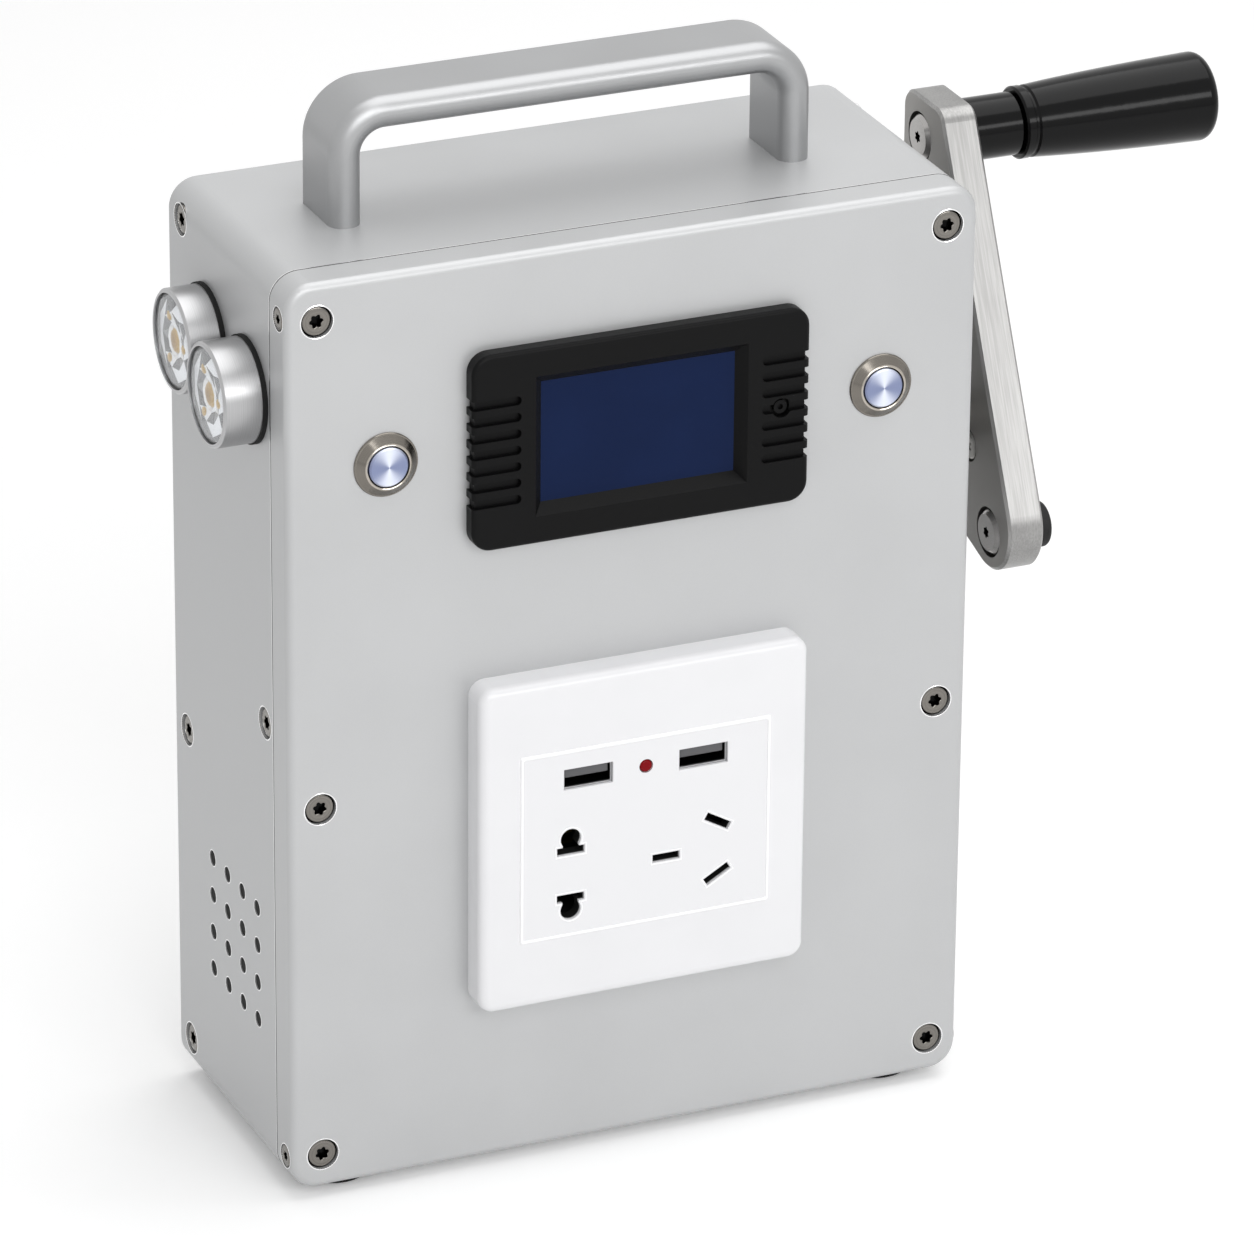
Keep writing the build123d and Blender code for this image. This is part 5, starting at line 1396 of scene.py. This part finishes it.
@dataclass
class Screws(SubAssembly):
    """Every screw head on the outside, each with its drive, and a painted highlight on the edge of its
    counterbore.
    """

    steel: ScrewSteel = ScrewSteel("screw_stainless", (0.20, 0.188, 0.172), 0.2)
    # A much lighter copy of the case aluminium: a painted highlight on the counterbores' edges
    lip: TurnedMetal = TurnedMetal(
        "counterbore_edge_painted_highlight_metal", (0.92, 0.92, 0.92), (0, -0.038, 0.12), Axis.ALONG_Y, 0.14
    )
    plain: TurnedMetal = TurnedMetal(
        "small_screw_steel", (0.45, 0.44, 0.42), (0.1, *HUB_YZ), Axis.ALONG_X, 0.22
    )
    lip_size: tuple[float, float] = (0.26 * MM, 0.06 * MM)
    sink: float = 0.0004
    side_x: float = 0.081
    rear_x: float = 0.0776
    front_heights: tuple[float, ...] = (0.012, 0.1045, 0.2295)
    side_heights: tuple[float, ...] = (0.013, 0.0975, 0.2315)
    side_depth: float = 0.0305
    middle: tuple[float, float] = (-0.0226, 0.122)
    flange: tuple[tuple[float, float], ...] = ((-0.0335, 0.011), (-0.0335, 0.2298))
    gearbox: tuple[tuple[float, float], ...] = (
        (-0.022, 0.1795), (0.028, 0.1795), (-0.021, 0.139), (0.0285, 0.1125), (-0.008, 0.1125),
    )

    def panel(self, reach: float, heights: Sequence[float], y: float, way: Point) -> list[Place]:
        """Places down both sides of the front cover or the rear panel."""
        return [((x, y, z), way) for x in (-reach, reach) for z in heights]

    def walls(self, spots: Sequence[tuple[float, float]], sink: float) -> list[Place]:
        """The same places on both side walls."""
        left = [((LEFT_X + sink, y, z), LEFTWARD) for y, z in spots]
        return left + [((RIGHT_X - sink, y, z), RIGHTWARD) for y, z in spots]

    def groups(self) -> list[ScrewGroup]:
        """All the screws, by what they hold.

        Returns:
            The groups, front to back.
        """
        large = LobedHead(
            radius=3.6 * MM, height=1.6 * MM, drive=1.8 * MM, depth=1.5 * MM, bevel=0.5 * MM,
            skirt=3.97 * MM, shank=1.75 * MM, length=4.6 * MM, hole=4.0 * MM,
        )
        small = LobedHead(
            radius=2.7 * MM, height=0.95 * MM, drive=1.25 * MM, depth=0.9 * MM, bevel=0.35 * MM,
            skirt=2.97 * MM, shank=1.5 * MM, length=3.4 * MM, hole=3.0 * MM,
        )
        front = self.panel(self.side_x, self.front_heights, FRONT_Y + self.sink, FORWARD)
        rear = self.panel(self.rear_x, self.side_heights, BACK_Y - self.sink, BACKWARD)
        sides = self.walls([*((self.side_depth, z) for z in self.side_heights), self.middle], self.sink)
        gearbox = [((RIGHT_X - self.sink, y, z), RIGHTWARD) for y, z in self.gearbox]
        return [
            ScrewGroup("front", "front_cover_screws", large, front, self.sink, seed=4),
            ScrewGroup("rear", "rear_panel_screws", large, rear, self.sink, seed=5),
            ScrewGroup("side", "side_screws", large, sides, self.sink, seed=6),
            ScrewGroup("flange", "cover_flange_screws", small, self.walls(self.flange, 0.0), 0.0, seed=7),
            ScrewGroup("gearbox", "gearbox_screws", large, gearbox, self.sink, seed=8),
        ]

    def dress_nodes(self) -> None:
        """Dress the screws that stay as they are."""
        dress(("foot_screws", "shaft_end_screw", "hub_screws"), self.plain.make())

    def pieces(self) -> list[bpy.types.Object]:
        """Replace the plain screws by detailed ones.

        Returns:
            The new pieces.
        """
        steel = self.steel.make()
        # Painted highlight rings for the counterbore lips
        edge = self.lip.make()
        spread = Spread("screw_spread")
        made = []
        for group in self.groups():
            name = f"{group.where}_screw_heads"
            heads = spread.lay(name, group.head.mesh(name + "_one"), group.places, steel, group.seed)
            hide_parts(group.node)
            mouths = [
                (tuple(p + w * group.sink for p, w in zip(place, way)), way) for place, way in group.places
            ]
            ring = lip_mesh("lip", group.head.hole, *self.lip_size)
            lips = spread.lay(f"{group.where}_screw_hole_lips", ring, mouths, edge)
            made += [self.keep(heads, "screw_steel"), self.keep(lips, "case_aluminium")]
        return made


# ---- Lamps --------------------------------------------------------------------------------------


@dataclass
class Lamps(SubAssembly):
    """Two lamps on the left wall: turned barrels, faceted bowls with painted reflections, clear optics and
    amber LEDs.
    """

    barrel_colour: Colour = (0.43, 0.43, 0.435)
    gasket: Moulded = Moulded("lamp_gasket_rubber", (0.006, 0.006, 0.006), 0.7, specular=0.25)
    optic: ClearPlastic = ClearPlastic("lamp_optic_plastic")
    board: Moulded = Moulded("led_board_white", (0.75, 0.74, 0.70), 0.35, specular=0.4)
    facets: int = 9
    # The bowl's rings of corners, as (radius, depth behind the lamp's face) in millimetres
    bowl_rings: tuple[tuple[float, float], ...] = (
        (11.5, 0.95), (10.3, 1.3), (7.2, 0.9), (4.5, 1.35), (3.9, 1.05), (3.2, 1.6),
    )
    bowl_back: float = 3.4
    # How bright each facet's painted reflection is, ring by ring; the last row serves the back as well
    facet_painted_reflections: tuple[tuple[float, ...], ...] = (
        (0.10, 0.16, 0.12, 0.07, 0.15, 0.11, 0.18, 0.08, 0.13),
        (1.0, 0.06, 1.0, 0.9, 0.1, 1.0, 0.2, 0.95, 1.0),
        (0.12, 1.0, 0.04, 0.1, 1.0, 0.06, 0.95, 0.08, 0.3),
        (1.0, 1.0, 0.95, 1.0, 1.0, 0.95, 1.0, 1.0, 0.95),
        (0.95, 1.0, 1.0, 0.95, 1.0, 1.0, 0.95, 1.0, 1.0),
        (0.3, 0.3, 0.3, 0.3, 0.3, 0.3, 0.3, 0.3, 0.3),
    )
    # How many tones further on in its row the second triangle of a facet's pair is
    tone_step: int = 3
    # The optic's outline, as (depth, radius) in millimetres
    optic_profile: tuple[tuple[float, float], ...] = (
        (0.08, 0.0), (0.1, 4.0), (0.2, 8.0), (0.4, 10.8), (0.6, 11.5), (0.85, 11.5), (0.72, 10.8),
        (0.6, 8.0), (0.5, 4.0), (0.48, 0.0),
    )
    led_radius: float = 3.1
    led_depth: float = 0.68
    led_thickness: float = 1.9
    # The dome's outline, as (depth, radius) in shares of its radius
    dome: tuple[tuple[float, float], ...] = ((0.0, 0.0), (0.05, 0.5), (0.16, 0.85), (0.32, 1.0))
    led_amber: Colour = (0.34, 0.17, 0.02)
    led_pale: Colour = (0.62, 0.42, 0.15)
    # Small domes round the LED that stand as painted reflections of it in the optic: how many, their radius
    # and how far out they stand, in millimetres
    painted_led_reflections: int = 3
    painted_reflection_radius: float = 1.25
    painted_reflection_reach: float = 6.3

    def faceted_bowl(self, lamp: Lamp) -> bpy.types.Mesh:
        """A reflector of flat facets, each ring turned by half a facet, with a flat back.

        Args:
            lamp: The lamp it belongs to.

        Returns:
            The closed mesh, with each facet's painted reflection tone in an attribute.
        """
        work = bmesh.new()
        tone = work.faces.layers.float.new(FACET_PAINTED_REFLECTION)
        levels = [(radius, depth, 0.5 * (level % 2)) for level, (radius, depth) in enumerate(self.bowl_rings)]
        levels += [(radius, self.bowl_back, shift) for radius, _, shift in (levels[-1], levels[0])]
        rings = []
        for radius, depth, shift in levels:
            angles = [2 * math.pi * (k + shift) / self.facets for k in range(self.facets)]
            x, reach = lamp.face + depth * MM, radius * MM
            corners = [(x, lamp.y + reach * math.cos(a), lamp.z + reach * math.sin(a)) for a in angles]
            rings.append([work.verts.new(corner) for corner in corners])
        for level, (first, second) in enumerate(zip(rings, rings[1:] + rings[:1])):
            tones = self.facet_painted_reflections[min(level, len(self.facet_painted_reflections) - 1)]
            low, high = (first, second) if level % 2 == 0 else (second, first)
            for k in range(self.facets):
                following = (k + 1) % self.facets
                face = work.faces.new((low[k], low[following], high[k]))
                face[tone] = tones[(k + self.tone_step) % self.facets]
                face = work.faces.new((low[following], high[following], high[k]))
                face[tone] = tones[k]
        return mesh_from(work, f"lamp_{lamp.side}_bowl")

    def optic_mesh(self, lamp: Lamp) -> bpy.types.Mesh:
        """A thin clear cover with a low bulge in the middle.

        Args:
            lamp: The lamp it belongs to.

        Returns:
            The closed mesh.
        """
        work = bmesh.new()
        profile = [(depth * MM, radius * MM) for depth, radius in self.optic_profile]
        turned_shape(work, profile, (lamp.face, lamp.y, lamp.z), Vector((1, 0, 0)), 72)
        return mesh_from(work, f"lamp_{lamp.side}_optic")

    def led_mesh(self, lamp: Lamp) -> bpy.types.Mesh:
        """A low round phosphor dome, and small copies round it that stand as painted reflections of it in the
        optic.

        Args:
            lamp: The lamp it belongs to.

        Returns:
            The closed mesh.
        """
        work = bmesh.new()
        spots = [(0.0, 0.0, self.led_radius)]
        for angle in turns(self.painted_led_reflections):
            away = self.painted_reflection_reach
            spots.append((-away * math.cos(angle), -away * math.sin(angle), self.painted_reflection_radius))
        for y, z, radius in spots:
            profile = [(self.led_depth + depth * radius, reach * radius) for depth, reach in self.dome]
            profile += [(self.led_depth + self.led_thickness, reach) for reach in (radius, 0.0)]
            middle = (lamp.face, lamp.y + y * MM, lamp.z + z * MM)
            turned_shape(work, [(d * MM, r * MM) for d, r in profile], middle, Vector((1, 0, 0)), 32)
        return mesh_from(work, f"lamp_{lamp.side}_led")

    def dress_nodes(self) -> None:
        """Dress the gaskets, the boards and the barrels."""
        dress(("lamp_gaskets",), self.gasket.make())
        dress(("lamp_led_boards",), self.board.make())
        for lamp in LAMP_PAIR:
            name, centre = f"lamp_{lamp.side}_barrel", (lamp.face, lamp.y, lamp.z)
            barrel = TurnedMetal(f"{name}_metal", self.barrel_colour, centre, Axis.ALONG_X, 0.34)
            dress((name,), barrel.make())

    def pieces(self) -> list[bpy.types.Object]:
        """Build both lamps' optics, bowls and LEDs.

        Returns:
            The new pieces.
        """
        clear = self.optic.make()
        painted_facets = FacetPaintedReflection().make()
        made = []
        for lamp in LAMP_PAIR:
            name = f"lamp_{lamp.side}"
            glow = LedGlow(
                f"{name}_phosphor", self.led_amber, self.led_pale,
                (lamp.face + self.led_depth * MM, lamp.y, lamp.z), self.led_radius * MM,
            )
            optic = self.add(f"{name}_clear_optic", self.optic_mesh(lamp), clear, "clear_lens")
            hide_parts(f"{name}_lens")
            made += [
                optic,
                self.add(f"{name}_faceted_bowl", self.faceted_bowl(lamp), painted_facets, "bright_aluminium", 5.0),
                self.add(f"{name}_led_dome", self.led_mesh(lamp), glow.make(), "led_board"),
            ]
        return made


# ---- Meter --------------------------------------------------------------------------------------


@dataclass
class Meter(SubAssembly):
    """The black panel meter with its dark blue window."""

    bezel: Moulded = Moulded(
        "meter_bezel_plastic", (0.0032, 0.0032, 0.0034), 0.4, grain=2400.0, strength=0.35, specular=0.11
    )
    screen: Moulded = Moulded("meter_window_blue", (0.006, 0.0145, 0.055), 0.2, strength=0.02, specular=0.06)

    def dress_nodes(self) -> None:
        """Dress the meter."""
        dress(("meter_bezel", "meter_case", "meter_screw"), self.bezel.make())
        dress(("meter_screen",), self.screen.make())


# ---- Outlet -------------------------------------------------------------------------------------


@dataclass(frozen=True)
class OutletWhite:
    """Glossy white plastic with painted shade inside its openings."""

    name: str = "outlet_insert_white"
    colour: Colour = (0.80, 0.80, 0.815)
    dark: Colour = (0.006, 0.006, 0.006)
    roughness: float = 0.24
    mouth: float = -0.0455
    fade: float = 0.4 * MM
    grain: float = 900.0

    def make(self) -> bpy.types.Material:
        """Build the material.

        Returns:
            The finished material.
        """
        shader = Shader(self.name)
        shader.base(self.colour, 0.0, self.roughness)
        shader.coated(0.2)
        # Painted shade: past the openings' mouth the colour turns dark
        painted_shade = shader.span(shader.parts(shader.place)["Y"], (self.mouth, self.mouth + self.fade))
        shader.colour_from(shader.mixed(painted_shade, self.colour, self.dark))
        shader.roughness_from(shader.span(painted_shade, WHOLE, (self.roughness, 0.6)))
        shader.bump(shader.noise(self.grain, detail=1.0), strength=0.03, depth=GRAIN_RELIEF)
        return shader.material


@dataclass(frozen=True)
class PortSteel:
    """The USB ports' plated shells, with painted shade inside past the mouth."""

    name: str = "usb_shell_steel"
    steel: Colour = (0.45, 0.45, 0.46)
    dark: Colour = (0.008, 0.008, 0.008)
    mouth: float = -0.0452
    fade: float = 0.6 * MM
    scratches: float = 1500.0

    def make(self) -> bpy.types.Material:
        """Build the material.

        Returns:
            The finished material.
        """
        shader = Shader(self.name)
        shader.base(self.steel, 0.85, 0.3)
        # Painted shade: past the mouth the plated colour turns dark
        painted_shade = shader.span(shader.parts(shader.place)["Y"], (self.mouth, self.mouth + self.fade))
        scratches = shader.noise(self.scratches)
        plated = shader.varied(scratches, self.steel, 0.9, 1.1)
        shader.colour_from(shader.blended(painted_shade, plated, self.dark))
        shader.bump(scratches, strength=0.1, depth=GRAIN_RELIEF)
        return shader.material


@dataclass
class Outlet(SubAssembly):
    """The white wall plate with its two USB ports and two mains sockets."""

    white: Moulded = Moulded(
        "outlet_plate_white", (0.80, 0.80, 0.815), 0.24, grain=900.0, strength=0.03, coat=0.2, tone=0.01
    )
    tongue: Moulded = Moulded("usb_tongue_grey", (0.10, 0.10, 0.105), 0.4, specular=0.4)
    brass: TurnedMetal = TurnedMetal(
        "contact_brass", (0.1, 0.075, 0.03), (0, -0.03, 0.0885), Axis.ALONG_Y, 0.35
    )
    red: Moulded = Moulded("indicator_red", (0.21, 0.0015, 0.005), 0.1, strength=0.02, specular=0.1)
    box: Moulded = Moulded("back_box_plastic", (0.02, 0.02, 0.02), 0.6)
    # A brighter copy of the plate's white: painted highlights on the insert's bead and the openings' lips
    line: Moulded = Moulded(
        "outlet_painted_highlight_white", (0.95, 0.95, 0.96), 0.3, grain=900.0, strength=0.03, tone=0.01
    )
    face_y: float = -0.046
    # The slots of the three-pin socket, as (x, z, tilt in degrees)
    pins: tuple[tuple[float, float, float], ...] = (
        (0.0055, 0.0798, 0.0), (0.0191, 0.0869, -30.0), (0.0191, 0.0727, 30.0),
    )
    blade: tuple[float, float] = (7.2 * MM, 2.1 * MM)
    pair: tuple[float, float] = (-0.0196, 0.0797)
    blade_reach: float = 6.3 * MM
    round_reach: float = 9.45 * MM
    round_radius: float = 2.65 * MM
    neck: float = 4.3 * MM
    arc_steps: int = 18
    lip: float = 0.5 * MM
    # A lip's section, as (reach out of the opening in lip widths, millimetres proud of the plate)
    lip_section: tuple[tuple[float, float], ...] = (
        (-0.04, -0.2), (0.7, 0.34), (1.0, 0.34), (1.25, 0.1), (0.5, -0.2),
    )
    module: tuple[float, float] = (0.0652, 0.0491)
    module_z: float = 0.0880
    # The bead's section, as (millimetres outside the insert, millimetres proud of the plate)
    bead_section: tuple[tuple[float, float], ...] = (
        (-0.6, -0.1), (-0.5, 0.42), (-0.25, 0.55), (0.05, 0.5), (0.32, -0.1),
    )
    bead_corner: float = 0.6 * MM
    usb_x: float = 0.0151
    tongue_z: float = 0.10595
    tongue_size: tuple[float, float] = (11.3, 2.3)
    # A tongue's length, as (y, millimetres that its end is drawn in)
    tongue_run: tuple[tuple[float, float], ...] = ((-0.0447, 0.15), (-0.04455, 0.0), (-0.0345, 0.0))

    def bead(self) -> bpy.types.Mesh:
        """The thin raised line round the insert.

        Returns:
            The closed mesh.
        """
        work = bmesh.new()
        width, height = self.module
        rings = []
        for grow, proud in self.bead_section:
            outline = rounded_outline(width + 2 * grow * MM, height + 2 * grow * MM, self.bead_corner, 4)
            y = self.face_y - proud * MM
            rings.append([work.verts.new((x, y, self.module_z + z)) for x, z in outline])
        band(work, rings)
        return mesh_from(work, "outlet_insert_bead")

    def slot_outline(self, grow: float) -> list[tuple[float, float]]:
        """A blade slot's corners, made larger all round."""
        x, z = self.blade[0] / 2 + grow, self.blade[1] / 2 + grow
        return [(x, z), (-x, z), (-x, -z), (x, -z)]

    def keyhole_outline(self, grow: float) -> list[tuple[float, float]]:
        """A slot with a neck and a round hole above it, made larger all round.

        Args:
            grow: How much larger.

        Returns:
            Points round it, once round.
        """
        x, z = self.blade[0] / 2 + grow, self.blade[1] / 2 + grow
        neck, radius = self.neck / 2 + grow, self.round_radius + grow
        rise = self.round_reach - self.blade_reach
        start = -math.acos(neck / radius)
        sweep = math.pi - 2 * start
        arc = [start + sweep * k / self.arc_steps for k in range(self.arc_steps + 1)]
        return [
            (-x, z), (-x, -z), (x, -z), (x, z), (neck, z),
            *((radius * math.cos(a), rise + radius * math.sin(a)) for a in arc),
            (-neck, z),
        ]

    def opening_lips(self) -> bpy.types.Mesh:
        """Bevelled lips round the mains openings.

        Returns:
            The closed mesh of all five.
        """
        work = bmesh.new()
        x, z = self.pair
        spots = [(self.slot_outline, *pin) for pin in self.pins]
        spots.append((self.keyhole_outline, x, z + self.blade_reach, 0.0))
        spots.append((self.keyhole_outline, x, z - self.blade_reach, 180.0))
        for outline, x, z, tilt in spots:
            turn = math.radians(tilt)
            across = Vector((math.cos(turn), 0, math.sin(turn)))
            upward = Vector((-math.sin(turn), 0, math.cos(turn)))
            rings = []
            for reach, proud in self.lip_section:
                middle = Vector((x, self.face_y - proud * MM, z))
                corners = outline(reach * self.lip)
                rings.append([work.verts.new(middle + across * a + upward * b) for a, b in corners])
            band(work, rings)
        return mesh_from(work, "outlet_opening_lips")

    def tongues(self) -> bpy.types.Mesh:
        """The grey tongues in both USB ports.

        Returns:
            The closed mesh of both.
        """
        work = bmesh.new()
        width, height = self.tongue_size
        for side in (-1, 1):
            layers = []
            for y, less in self.tongue_run:
                outline = rounded_outline((width - 2 * less) * MM, (height - 2 * less) * MM, 0.2 * MM, 2)
                layers.append([Vector((side * self.usb_x + x, y, self.tongue_z + z)) for x, z in outline])
            stacked(work, layers)
        return mesh_from(work, "usb_tongues")

    def dress_nodes(self) -> None:
        """Dress the plate, the insert, the ports and what lies behind them."""
        dress(("socket_plate",), self.white.make())
        dress(("socket_module",), OutletWhite().make())
        dress(("usb_port_left", "usb_port_right"), PortSteel().make())
        dress(("socket_contacts",), self.brass.make())
        dress(("socket_indicator",), self.red.make())
        dress(("socket_back_box",), self.box.make())

    def pieces(self) -> list[bpy.types.Object]:
        """Build the insert's bead and the openings' lips, in a brighter white as painted highlights, and the
        ports' tongues.

        Returns:
            The new pieces.
        """
        # Painted highlight white for the bead and the lips
        line = self.line.make()
        return [
            self.add("outlet_insert_bead", self.bead(), line, "white_plastic", 50.0),
            self.add("outlet_opening_lips", self.opening_lips(), line, "white_plastic", 20.0),
            self.add("usb_tongues", self.tongues(), self.tongue.make(), "black_plastic"),
        ]


# ---- Buttons ------------------------------------------------------------------------------------


@dataclass
class PushButtons(SubAssembly):
    """Two metal push buttons with spun faces, their sheen painted into the faces' colour, and a painted
    highlight on each bead.
    """

    rim_colour: Colour = (0.19, 0.175, 0.155)
    # Colours of the faces' painted sheen: dark at the sides, bright in the fans
    face_painted_shade: Colour = (0.17, 0.205, 0.36)
    face_painted_sheen: Colour = (0.80, 0.84, 0.95)
    # How much lighter the bead's nickel is than the rim's: a painted highlight on the bead
    bead_painted_highlight: float = 2.4
    rim_face: float = -0.0400
    # Sections of the rings, as (radius, distance in front of the rim's face) in millimetres
    bead: tuple[tuple[float, float], ...] = (
        (5.32, -0.6), (5.34, 0.1), (5.55, 0.2), (5.8, 0.1), (5.95, -0.1), (5.95, -0.6),
    )
    flange: tuple[tuple[float, float], ...] = (
        (7.5, -1.9), (7.5, -1.45), (7.95, -1.5), (8.1, -1.7), (8.1, -1.98), (7.6, -1.99),
    )
    steps: int = 72

    def ring(self, name: str, x: float, profile: Sequence[tuple[float, float]]) -> bpy.types.Mesh:
        """A turned ring about a button's axis.

        Args:
            name: The mesh's name.
            x: Where the button stands.
            profile: Its section, once round.

        Returns:
            The closed mesh.
        """
        work = bmesh.new()
        rings = []
        for radius, out in profile:
            y, reach = self.rim_face - out * MM, radius * MM
            angles = turns(self.steps)
            corners = [(x + reach * math.cos(a), y, BUTTON_Z + reach * math.sin(a)) for a in angles]
            rings.append([work.verts.new(corner) for corner in corners])
        band(work, rings)
        return mesh_from(work, name)

    def nickel(self, name: str, x: float, colour: Colour, roughness: float) -> bpy.types.Material:
        """Nickel turned about a button's axis."""
        return TurnedMetal(name, colour, (x, FRONT_Y, BUTTON_Z), Axis.ALONG_Y, roughness).make()

    def dress_nodes(self) -> None:
        """Dress the caps and the nuts; the bodies share their flange's nickel."""
        for side, x in (("left", -BUTTON_X), ("right", BUTTON_X)):
            centre = (x, FRONT_Y, BUTTON_Z)
            face = SpunFace(f"button_{side}_spun_face_painted_sheen", self.face_painted_shade, self.face_painted_sheen, centre)
            dress((f"button_{side}_cap",), face.make())
        dress(("panel_nuts",), self.nickel("nut_nickel", -BUTTON_X, self.rim_colour, 0.22))

    def pieces(self) -> list[bpy.types.Object]:
        """Build the rings of both buttons.

        Returns:
            The new pieces.
        """
        made = []
        for side, x in (("left", -BUTTON_X), ("right", BUTTON_X)):
            name = f"button_{side}"
            rim = self.nickel(f"{name}_nickel", x, self.rim_colour, 0.17)
            # Painted highlight: the bead gets a lighter copy of the rim's nickel
            bright = self.nickel(f"{name}_bead_painted_highlight_nickel", x, lighter(self.rim_colour, self.bead_painted_highlight), 0.12)
            dress((f"{name}_body",), rim)
            for part, profile, finish in (("bead", self.bead, bright), ("flange", self.flange, rim)):
                ring = self.ring(f"{name}_{part}", x, profile)
                made.append(self.add(f"{name}_{part}", ring, finish, "nickel_rim"))
        return made


# ---- Crank --------------------------------------------------------------------------------------


@dataclass
class Crank(SubAssembly):
    """The arm, its bolts and the turning grip."""

    arm: BrushedMetal = BrushedMetal(
        "arm_brushed_aluminium", (0.30, 0.297, 0.292), (0.325, 0.317, 0.305), 0.34, 0.42,
        turn=(27, 0, 0), metallic=0.92,
    )
    black: Moulded = Moulded(
        "grip_black_plastic", (0.0012, 0.0012, 0.0014), 0.15, grain=700.0, strength=0.02, specular=0.17
    )
    rubber: Moulded = Moulded("bumper_rubber", (0.008, 0.008, 0.008), 0.6, specular=0.3)
    steel: Colour = (0.40, 0.39, 0.38)
    # The bolts' drives: their radius, and the depth at which their painted shade starts
    drive: float = 1.72 * MM
    drive_floor: float = 0.10044

    def dress_nodes(self) -> None:
        """Dress the crank; its two bolts have painted shade down their drives."""
        dress(("crank_arm",), self.arm.make())
        for node, (y, z), painted_shade_bore in (
            ("grip_spindle", GRIP_YZ, self.drive),
            ("nose_bolt", NOSE_YZ, self.drive),
            ("crank_hub", HUB_YZ, 0.0),
            ("crank_shaft", HUB_YZ, 0.0),
        ):
            centre = (ARM_IN_X, y, z)
            steel = TurnedMetal(
                f"{node}_steel", self.steel, centre, Axis.ALONG_X, 0.2, painted_shade_bore=painted_shade_bore, painted_shade_from=self.drive_floor
            )
            dress((node,), steel.make())
        dress(("crank_grip", "grip_cap", "grip_collar"), self.black.make())
        dress(("arm_bumper",), self.rubber.make())


# ---- Works --------------------------------------------------------------------------------------


@dataclass
class Works(SubAssembly):
    """The gearbox, generator, battery, board and fan inside the case."""

    plate: BrushedMetal = BrushedMetal(
        "gearbox_plate_aluminium", (0.6, 0.6, 0.61), (0.55, 0.55, 0.56), 0.35, 0.38
    )
    steel: TurnedMetal = TurnedMetal("works_steel", (0.48, 0.48, 0.49), (0.07, *HUB_YZ), Axis.ALONG_X, 0.28)
    gear: TurnedMetal = TurnedMetal("gear_cut_steel", (0.38, 0.38, 0.38), (0.07, *HUB_YZ), Axis.ALONG_X, 0.34)
    wrap: Moulded = Moulded("pack_shrink_wrap", (0.02, 0.06, 0.2), 0.3, grain=120.0, strength=0.2)
    lacquer: Moulded = Moulded("board_lacquer", (0.006, 0.07, 0.03), 0.35, grain=500.0)
    fan: Moulded = Moulded("fan_plastic", (0.008, 0.008, 0.008), 0.45, specular=0.3)

    def dress_nodes(self) -> None:
        """Dress the inner pieces."""
        dress(("gearbox_outer_plate", "gearbox_inner_plate"), self.plate.make())
        dress(("gearbox_pillars", "shaft_bearings", "idler_axle", "generator_body"), self.steel.make())
        dress(("drive_gear", "idler_gear", "generator_rotor"), self.gear.make())
        dress(("battery_pack",), self.wrap.make())
        dress(("control_board",), self.lacquer.make())
        dress(("fan_frame", "fan_rotor"), self.fan.make())


# ---- Making -------------------------------------------------------------------------------------


def main() -> None:
    """Build the studio and every sub-assembly."""
    logging.basicConfig(level=logging.INFO, format="%(name)s: %(message)s")
    Studio().build()
    for sub_assembly in (
        CasePanels(), CarryHandle(), Screws(), Lamps(), Meter(), Outlet(), PushButtons(), Crank(), Works(),
    ):
        sub_assembly.dress_nodes()
        for piece in sub_assembly.pieces():
            log.info("%s: %s, %d faces", type(sub_assembly).__name__, piece.name, len(piece.data.polygons))


if __name__ == "__main__":
    main()
